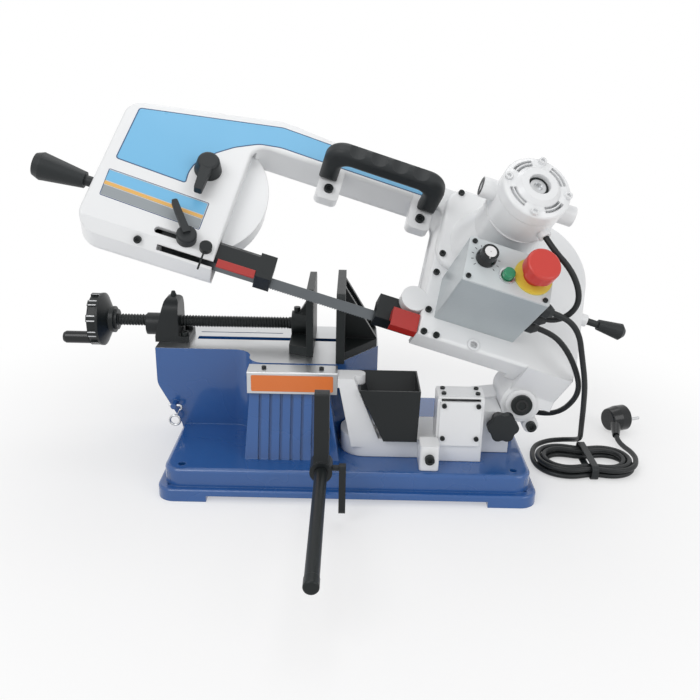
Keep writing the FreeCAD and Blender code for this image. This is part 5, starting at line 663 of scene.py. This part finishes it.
for name, thing in nodes.items():
    thing.data.materials.clear()
    thing.data.materials.append(FINISHES[LOOKS_LIKE.get(name, slot_of[name])])
for cord, *_ in CORDS:
    cord.data.materials.clear()
    cord.data.materials.append(FINISHES["cord_rubber"])
print("painted", len(nodes), "nodes and", len(CORDS), "cords")

# %% [markdown]
# ## Pieces that CAD leaves out
# Printed sheets, labels and ink marks lie on a surface. An image could stand for them, but a thin plate
# of its own material stays sharp at any distance. Each is drawn flat in millimetres, its corners are
# rounded by a bevel of its vertices, and it gets a little thickness.

# %% From flat corners to a plate
CORNER_SEGMENTS = 4


def box_corners(left, low, right, top):
    """The four corners of an upright rectangle."""
    return [(left, low), (right, low), (right, top), (left, top)]


def thicken(form, depth):
    """Give flat faces a thickness along Z."""
    grown = bmesh.ops.extrude_face_region(form, geom=form.faces[:])
    moved = [item for item in grown["geom"] if isinstance(item, bmesh.types.BMVert)]
    bmesh.ops.translate(form, verts=moved, vec=(0, 0, depth * MM))


def sheet_form(corners, rounding, depth, inset=0.0):
    """A rounded plate from millimetre corners; inset leaves a rim of that width off."""
    form = bmesh.new()
    form.faces.new([form.verts.new((x * MM, y * MM, 0)) for x, y in corners])
    if rounding:
        bmesh.ops.bevel(form, geom=form.verts[:], offset=rounding * MM, offset_type="OFFSET",
                        segments=CORNER_SEGMENTS, profile=0.5, affect="VERTICES", material=-1)
    if inset:
        rim = bmesh.ops.inset_region(form, faces=form.faces[:], thickness=inset * MM, use_boundary=True,
                                     use_even_offset=True)
        bmesh.ops.delete(form, geom=rim["faces"], context="FACES")
    thicken(form, depth)
    return form


print("plates have corners of", CORNER_SEGMENTS, "segments")

# %% [markdown]
# The bow carries a broad blue band along its backbone. A navy sheet lies below and a smaller sky-blue one
# on top of it, so that a thin dark line is left all round. A matrix carries both onto the bow's front.

# %% Band on the bow
BOW_FACE = 28.0
ON_BOW = in_bow(0, 0, BOW_FACE), "bow_frame"
BAND = [(-350.8, 167.2), (-173.7, 209.9), (-97.7, 207.9), (42.6, 197.5), (45.4, 176.0), (-32.2, 176.2),
        (-112.3, 176.4), (-168.0, 177.1), (-195.3, 171.5), (-222.6, 154.9), (-242.4, 137.0),
        (-261.1, 112.3), (-264.1, 97.6), (-262.7, 81.0), (-351.8, 84.3)]


def lay_down(name, form, body, slot, look=None):
    """Turn a bmesh into an object that rides one body; it looks like its slot unless a look is given."""
    bmesh.ops.recalc_face_normals(form, faces=form.faces)
    mesh = bpy.data.meshes.new(name)
    form.to_mesh(mesh)
    form.free()
    mesh.materials.append(FINISHES[look or slot])
    thing = bpy.data.objects.new(name, mesh)
    scene.collection.objects.link(thing)
    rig.ride(thing, body)
    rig.slot(thing, slot)
    return thing


def sheet(name, corners, place, node, look, rounding, depth, inset=0.0):
    """A printed plate on the body of one CAD node."""
    form = sheet_form(corners, rounding, depth, inset)
    form.transform(place)
    return lay_down(name, form, body_of[node], "panel_print", look)


sheet("band_outline", BAND, *ON_BOW, "navy_print", rounding=4.0, depth=0.10)
band = sheet("band_print", BAND, *ON_BOW, "sky_print", rounding=4.0, depth=0.18, inset=1.3)
print("band of", len(band.data.polygons), "faces")

# %% [markdown]
# Below the band sits a label of plain stripes, and the bright rest plate carries an orange one.
# A stripe could be a colour on the label's own face, but a plate of its own gets rounded corners.
# The stripes stand a few hundredths of a millimetre above the label, so that it doesn't show through them.

# %% Labels
LABEL = [(-351.0, 28.7), (-227.7, 23.8), (-227.6, 64.3), (-353.0, 67.8)]
SKY_STRIPE = [(-351.6, 50.6), (-229.4, 45.6), (-229.4, 62.4), (-351.9, 65.8)]
AMBER_STRIPE = [(-351.4, 44.8), (-229.4, 39.8), (-229.4, 44.6), (-351.5, 49.6)]
GREY_STRIPE = [(-349.8, 30.2), (-229.2, 25.4), (-229.3, 38.8), (-350.8, 43.8)]
REST_FACE = -70.0
ON_REST = Matrix.Translation((0, REST_FACE * MM, 0)) @ UPRIGHT, "front_rest_plate"
REST_LABEL = box_corners(-122.0, 124.5, -20.0, 146.0)

sheet("label_rim", LABEL, *ON_BOW, "navy_print", rounding=2.0, depth=0.12)
sheet("label_plate", LABEL, *ON_BOW, "pale_label", rounding=2.0, depth=0.20, inset=0.9)
sheet("label_sky", SKY_STRIPE, *ON_BOW, "sky_print", rounding=1.0, depth=0.24)
sheet("label_amber", AMBER_STRIPE, *ON_BOW, "amber_print", rounding=0.4, depth=0.24)
sheet("label_grey", GREY_STRIPE, *ON_BOW, "grey_print", rounding=1.0, depth=0.24)
sheet("rest_label", REST_LABEL, *ON_REST, "orange_label", rounding=2.0, depth=0.15)
print("five sheets of the label and one on the rest plate")

# %% [markdown]
# The speed knob has a printed scale round it and a white line on its top.
# Ticks drawn one by one would end up uneven, so one tick is turned about the knob's axis eleven times,
# and the copies are joined into one piece.

# %% Speed scale
PANEL_FACE, KNOB_HEIGHT = 129.0, 16.0
SPEED_AT = 95.0, 42.0
SCALE_TICKS, SCALE_SWEEP = 11, math.radians(270)
TICK = box_corners(-0.4, 14.5, 0.4, 17.5)
POINTER = box_corners(-0.6, 5.0, 0.6, 9.4)


def joined(forms):
    """One bmesh that holds several, which are freed."""
    whole = bmesh.new()
    for form in forms:
        carrier = bpy.data.meshes.new("carrier")
        form.to_mesh(carrier)
        form.free()
        whole.from_mesh(carrier)
        bpy.data.meshes.remove(carrier)
    return whole


def tick_form(count):
    """One tick of the scale in its place."""
    form = sheet_form(TICK, rounding=0, depth=0.12)
    turn = SCALE_SWEEP * (0.5 - count / (SCALE_TICKS - 1))
    form.transform(in_bow(*SPEED_AT, PANEL_FACE) @ Matrix.Rotation(turn, 4, "Z"))
    return form


ticks = joined(tick_form(count) for count in range(SCALE_TICKS))
lay_down("speed_scale", ticks, body_of["control_panel"], "panel_print", "dark_ink")
KNOB_TOP = in_bow(*SPEED_AT, PANEL_FACE + KNOB_HEIGHT) @ Matrix.Rotation(math.pi, 4, "Z")
sheet("speed_pointer", POINTER, KNOB_TOP, "speed_knob", "white_ink", rounding=0.3, depth=0.15)
print(SCALE_TICKS, "ticks")

# %% [markdown]
# A bright ring holds the start button, and the speed knob has a white cap with a small hole.
# A ring could be a cylinder with a hole cut in it. Spinning a rectangle once round gives it straight away.
# The faces that the spin leaves inside the ring are deleted: all their corners lie at one angle.

# %% Rings on the panel
RING_STEPS, ANGLE_DIGITS = 48, 4
START_AT = 123.0, 29.0


def spin_round(form, angle, steps, closed):
    """Spin a form's section about Z."""
    bmesh.ops.spin(form, geom=form.faces[:] + form.edges[:] + form.verts[:], cent=(0, 0, 0), axis=(0, 0, 1),
                   angle=angle, steps=steps, use_merge=closed)


def section_form(inner, low, outer, top):
    """An upright rectangle beside the Z axis, ready to be spun."""
    form = bmesh.new()
    form.faces.new([form.verts.new((x * MM, 0, z * MM)) for x, z in box_corners(inner, low, outer, top)])
    return form


def at_one_angle(face):
    """Whether all corners of a face lie at one angle about Z."""
    return len({round(math.atan2(corner.co.y, corner.co.x), ANGLE_DIGITS) for corner in face.verts}) == 1


def ring(name, place, node, slot, inner, outer, height, look=None):
    """A ring on the body of one CAD node."""
    form = section_form(inner, 0, outer, height)
    spin_round(form, 2 * math.pi, RING_STEPS, closed=True)
    bmesh.ops.delete(form, geom=[face for face in form.faces if at_one_angle(face)], context="FACES_ONLY")
    form.transform(place)
    return lay_down(name, form, body_of[node], slot, look)


START = in_bow(*START_AT, PANEL_FACE)
button_ring = ring("start_ring", START, "control_panel", "bright_steel", inner=7.8, outer=10.0, height=1.6)
ring("speed_cap", KNOB_TOP, "speed_knob", "panel_print", inner=0.5, outer=7.0, height=0.2, look="white_ink")
print("a ring has", len(button_ring.data.polygons), "faces")

# %% [markdown]
# The motor's bell shows the bearing of its shaft: a bright race inside a dark ring.
# The brush caps have black rims, and the pivot's cap a glossy ring.
# The front of that cap is read from its node, so the ring sits on it.

# %% Rings of the motor and the pivot
MOTOR_AXIS, BELL_FACE = (127.0, 125.0), 171.0
BRUSH_LEVEL, BRUSH_REACH = 144.5, 57.0

BELL = in_bow(*MOTOR_AXIS, BELL_FACE)
ring("bell_bearing", BELL, "motor_end_bell", "blackened_iron", inner=9.8, outer=12.8, height=3.0)
ring("bell_race", BELL, "motor_end_bell", "bright_steel", inner=5.4, outer=9.8, height=3.4)
for side, name in ((-1, "left"), (1, "right")):
    brush_end = in_bow(MOTOR_AXIS[0] + side * BRUSH_REACH, MOTOR_AXIS[1], BRUSH_LEVEL)
    outward = Matrix.Rotation(side * math.pi / 2, 4, "Y")
    ring(f"brush_ring_{name}", brush_end @ outward, "brush_caps", "black_plastic", inner=5.8, outer=10.4,
         height=0.5)
cap_front = min(vertex.co.y for vertex in nodes["pivot_shaft"].data.vertices)
PIVOT_CAP = Matrix.Translation((PIVOT.x, cap_front, PIVOT.z)) @ UPRIGHT
ring("pivot_ring", PIVOT_CAP, "pivot_shaft", "gloss_black", inner=5.0, outer=8.5, height=0.8)
print("pivot ring at y =", round(cap_front, 4), "m")

# %% [markdown]
# The rim of the handwheel is polished between its finger notches: ten small bright plates,
# one on every lobe. They are one plate turned about the wheel's axis, sunk to lie close along the rim.

# %% Bright lobes of the handwheel
WHEEL = Matrix.Translation(Vector((-352.0, 55.0, 174.0)) * MM)
LOBES, RIM, LOBE_SINK = 10, 36.0, 0.3
LOBE_PLATE = box_corners(1.0, -4.2, 12.0, 4.2)


def lobe_form(count):
    """One bright plate on the wheel's rim."""
    form = sheet_form(LOBE_PLATE, rounding=1.0, depth=0.2)
    turned = WHEEL @ Matrix.Rotation(2 * math.pi * count / LOBES, 4, "X")
    form.transform(turned @ Matrix.Translation((0, 0, (RIM - LOBE_SINK) * MM)))
    return form


lobes = joined(lobe_form(count) for count in range(LOBES))
lay_down("wheel_lobes", lobes, body_of["handwheel"], "bright_steel")
print(LOBES, "bright lobes")

# %% [markdown]
# The casting is painted all over except on its bed, which is machined bright.
# A plain rectangle wouldn't follow the bed's outline, so the skin of bright steel is taken from the
# casting's own upward faces at bed height and made a tenth of a millimetre thick.

# %% Machined bed
BED_TOP, BED_SLACK, BED_SKIN = 150.0, 0.2, 0.1
LOOKS_UP = 0.99
MERGE = 0.001 * MM

bed = bmesh.new()
bed.from_mesh(nodes["base_casting"].data)
painted = [face for face in bed.faces
           if face.normal.z < LOOKS_UP or face.calc_center_median().z < (BED_TOP - BED_SLACK) * MM]
bmesh.ops.delete(bed, geom=painted, context="FACES")
bmesh.ops.remove_doubles(bed, verts=bed.verts, dist=MERGE)
thicken(bed, BED_SKIN)
bed_face = lay_down("bed_face", bed, "base", "bright_steel")
print("bed skin of", len(bed_face.data.polygons), "faces")

# %% [markdown]
# A vise screw is known by its thread. One pitch of the profile is spun along the screw: each step turns it
# by a twentieth of a turn and carries it a twentieth of a pitch along, and the seams are merged.
# A plain core with a thinner tip, and a collar at each end, close it.

# %% Thread of the vise screw
PITCH, THREAD_TURNS, THREAD_STEPS = 4.0, 60, 20
CREST, ROOT, CORE, TIP = 8.0, 6.7, 6.4, 5.0
THREAD_END, TIP_END, COLLAR, COLLAR_PROUD = 241.0, 263.3, 4.0, 0.1
SCREW_START = Vector((-321.5, 55.0, 174.0)) * MM
SEAM = 0.02 * MM
ROUND_SEGMENTS = 40
PROFILE = ((0, ROOT), (1.1, CREST), (2.0, CREST), (3.1, ROOT), (PITCH, ROOT))
CORES = ((0.0, TIP_END, TIP), (0.0, THREAD_END, CORE), (0.0, COLLAR, CREST),
         (THREAD_END - COLLAR, THREAD_END + COLLAR_PROUD, CREST))
LIE_ALONG = Matrix.Rotation(math.radians(90), 4, "Y")

screw = bmesh.new()
outline = [screw.verts.new((x * MM, 0, radius * MM)) for x, radius in PROFILE]
spun = outline + [screw.edges.new(pair) for pair in zip(outline, outline[1:])]
bmesh.ops.spin(screw, geom=spun, cent=(0, 0, 0), axis=(1, 0, 0), dvec=(PITCH / THREAD_STEPS * MM, 0, 0),
               angle=2 * math.pi * THREAD_TURNS, steps=THREAD_TURNS * THREAD_STEPS)
bmesh.ops.remove_doubles(screw, verts=screw.verts, dist=SEAM)
for start, end, radius in CORES:
    along = Matrix.Translation(((start + end) / 2 * MM, 0, 0)) @ LIE_ALONG
    bmesh.ops.create_cone(screw, cap_ends=True, segments=ROUND_SEGMENTS, radius1=radius * MM,
                          radius2=radius * MM, depth=(end - start) * MM, matrix=along)
screw.transform(Matrix.Translation(SCREW_START))
thread = lay_down("vise_thread", screw, body_of["vise_screw"], "blackened_iron")
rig.replaces(thread, "vise_screw")
print("thread of", len(thread.data.polygons), "faces")

# %% [markdown]
# The blade's working edge has teeth. Each could be a wedge of its own, but one saw-tooth outline along the
# straight run between the guides gives them all at once. It is a little thicker than the band,
# because real teeth are set to both sides.

# %% Teeth
TEETH, RUN_START = 42, -128.0
TOOTH, TOOTH_SLOPE, TOOTH_DEPTH = 3.2, 0.9, 1.5
BAND_EDGE, TOOTH_ROOT, TOOTH_SET = -6.5, 1.0, 0.8

run = [RUN_START + TOOTH * count for count in range(TEETH)]
edge_line = [corner for x in run
             for corner in ((x, BAND_EDGE - TOOTH_DEPTH), (x + TOOTH_SLOPE * TOOTH, BAND_EDGE))]
back_line = [(run[-1] + TOOTH, BAND_EDGE + TOOTH_ROOT), (run[0], BAND_EDGE + TOOTH_ROOT)]
toothed = sheet_form(back_line + edge_line, rounding=0, depth=TOOTH_SET)
beside_band = BLADE_START + Vector((0, TOOTH_SET / 2 * MM, 0))
toothed.transform(raised @ Matrix.Translation(beside_band) @ UPRIGHT)
lay_down("blade_teeth", toothed, body_of["saw_blade"], "blade_steel")
print(len(run), "teeth")

# %% [markdown]
# Two walls of the castings are closed here. The hollow under the tray has square corners that come through
# the rounded deck, and the idler's chamber comes through the leg's inner wall in front of its drum.
# A curved wall is spun a quarter turn inside each corner of the tray, and a flat strip lies along the leg.

# %% Corner walls of the tray and strip of the leg
DECK_HALF_X, DECK_HALF_Y, DECK_CORNER = 227.0, 120.0, 22.0
WALL_LOW, WALL_TOP, WALL_INNER = 14.0, 34.0, 18.0
SKIN_GAP = 0.05
CORNER_STEPS = 12
CORNERS = ((1, 1), (-1, 1), (-1, -1), (1, -1))
THROAT_LEFT, STRIP_DEPTH = -200.0, 3.0
STRIP = box_corners(26.0, 7.0, 168.0, 23.0)
INTO_LEG = Matrix(((0, 0, 1, 0), (1, 0, 0, 0), (0, 1, 0, 0), (0, 0, 0, 1)))


def corner_form(quarter):
    """The wall inside one rounded corner of the deck."""
    form = section_form(WALL_INNER, WALL_LOW, DECK_CORNER - SKIN_GAP, WALL_TOP)
    spin_round(form, math.pi / 2, CORNER_STEPS, closed=False)
    side_x, side_y = CORNERS[quarter]
    middle_of_arc = Vector((side_x * (DECK_HALF_X - DECK_CORNER), side_y * (DECK_HALF_Y - DECK_CORNER), 0))
    turned = Matrix.Rotation(quarter * math.pi / 2, 4, "Z")
    form.transform(Matrix.Translation(middle_of_arc * MM) @ turned)
    return form


walls = joined(corner_form(quarter) for quarter in range(len(CORNERS)))
corner_walls = lay_down("tray_corner_walls", walls, "base", slot_of["base_casting"])
strip = sheet_form(STRIP, rounding=0, depth=STRIP_DEPTH)
strip.transform(in_bow(THROAT_LEFT - STRIP_DEPTH - SKIN_GAP, 0, 0) @ INTO_LEG)
lay_down("leg_strip", strip, "head", slot_of["bow_frame"])
print("corner walls of", len(corner_walls.data.polygons), "faces and one strip")

# %% [markdown]
# The screws have sockets for a key, but the CAD heads are plain. Each screw node is copied and its
# triangles are joined back into whole faces. One node holds many screws,
# so its faces are sorted into groups that hang together.

# %% Screws one by one
SCREW_NODES = ("vise_bolts", "arm_screws", "bow_screws", "motor_screws")
SAME_PLANE = math.radians(1)


def whole_faces(node):
    """A copy of a node's mesh with its triangles joined back into whole faces."""
    form = bmesh.new()
    form.from_mesh(nodes[node].data)
    bmesh.ops.remove_doubles(form, verts=form.verts, dist=MERGE)
    bmesh.ops.dissolve_limit(form, angle_limit=SAME_PLANE, verts=form.verts, edges=form.edges)
    return form


def islands(form):
    """Groups of faces that hang together, one for each screw."""
    met = set()
    for first in form.faces:
        if first in met:
            continue
        met.add(first)
        group, waiting = [], [first]
        while waiting:
            face = waiting.pop()
            group.append(face)
            near = [other for rim in face.edges for other in rim.link_faces if other not in met]
            met.update(near)
            waiting.extend(dict.fromkeys(near))
        yield group


keyless = {node: whole_faces(node) for node in SCREW_NODES}
screws = {node: list(islands(form)) for node, form in keyless.items()}
print({node: len(groups) for node, groups in screws.items()})

# %% [markdown]
# A boolean could cut the sockets, but it leaves long thin triangles round every hole.
# Instead the face of each head that looks to the front or up is inset and sunk.
# The screws of the motor's bell and the washer on the bow are painted with what they hold,
# so they get the white enamel.

# %% Sockets in the screw heads
TOWARD_EYE = Vector((0, -0.8, 0.6))
IN_VIEW, DISC_CORNERS = 0.3, 10
SOCKET_RIM, SOCKET_DRAFT, SOCKET_DEPTH = 0.45, 0.03, 0.5
INTO_BOW = BOW.inverted()
BELL_START = 150.0 * MM
WASHER, WASHER_NEAR = Vector((128.0, -13.0)) * MM, 3.0 * MM


def reach(face):
    """How far out a face lies along its own normal."""
    return face.calc_center_median().dot(face.normal)


for node, form in keyless.items():
    sunk = 0
    for group in screws[node]:
        discs = [face for face in group
                 if len(face.verts) >= DISC_CORNERS and face.normal.dot(TOWARD_EYE) > IN_VIEW]
        if not discs:
            continue
        head = max(discs, key=reach)
        radius = math.sqrt(head.calc_area() / math.pi)
        at = INTO_BOW @ head.calc_center_median()
        on_washer = node == "bow_screws" and (at.xy - WASHER).length < WASHER_NEAR
        if on_washer or at.z > BELL_START:
            for face in group:
                face.material_index = 1
        bmesh.ops.inset_individual(form, faces=[head], thickness=SOCKET_RIM * radius)
        bmesh.ops.inset_individual(form, faces=[head], thickness=SOCKET_DRAFT * radius,
                                   depth=-SOCKET_DEPTH * radius)
        if on_washer:
            head.material_index = 0
        sunk += 1
    keyed = lay_down(node + "_keyed", form, body_of[node], slot_of[node])
    keyed.data.materials.append(FINISHES["white_enamel"])
    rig.replaces(keyed, node)
    print(node, sunk, "sockets")

# %% [markdown] The CAD model's box and the box of all that is shown are written down together.
# Nothing that was added may stand outside the CAD model's box.

# %% Keep the sizes and finish
bpy.context.view_layer.update()
visual_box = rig.bounds()
with open("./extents.json", "w") as sizes:
    json.dump({"cad": [list(corner) for corner in cad_box], "visual": [list(corner) for corner in visual_box]}, sizes)
print("visual box", [[round(value, 4) for value in corner] for corner in visual_box])
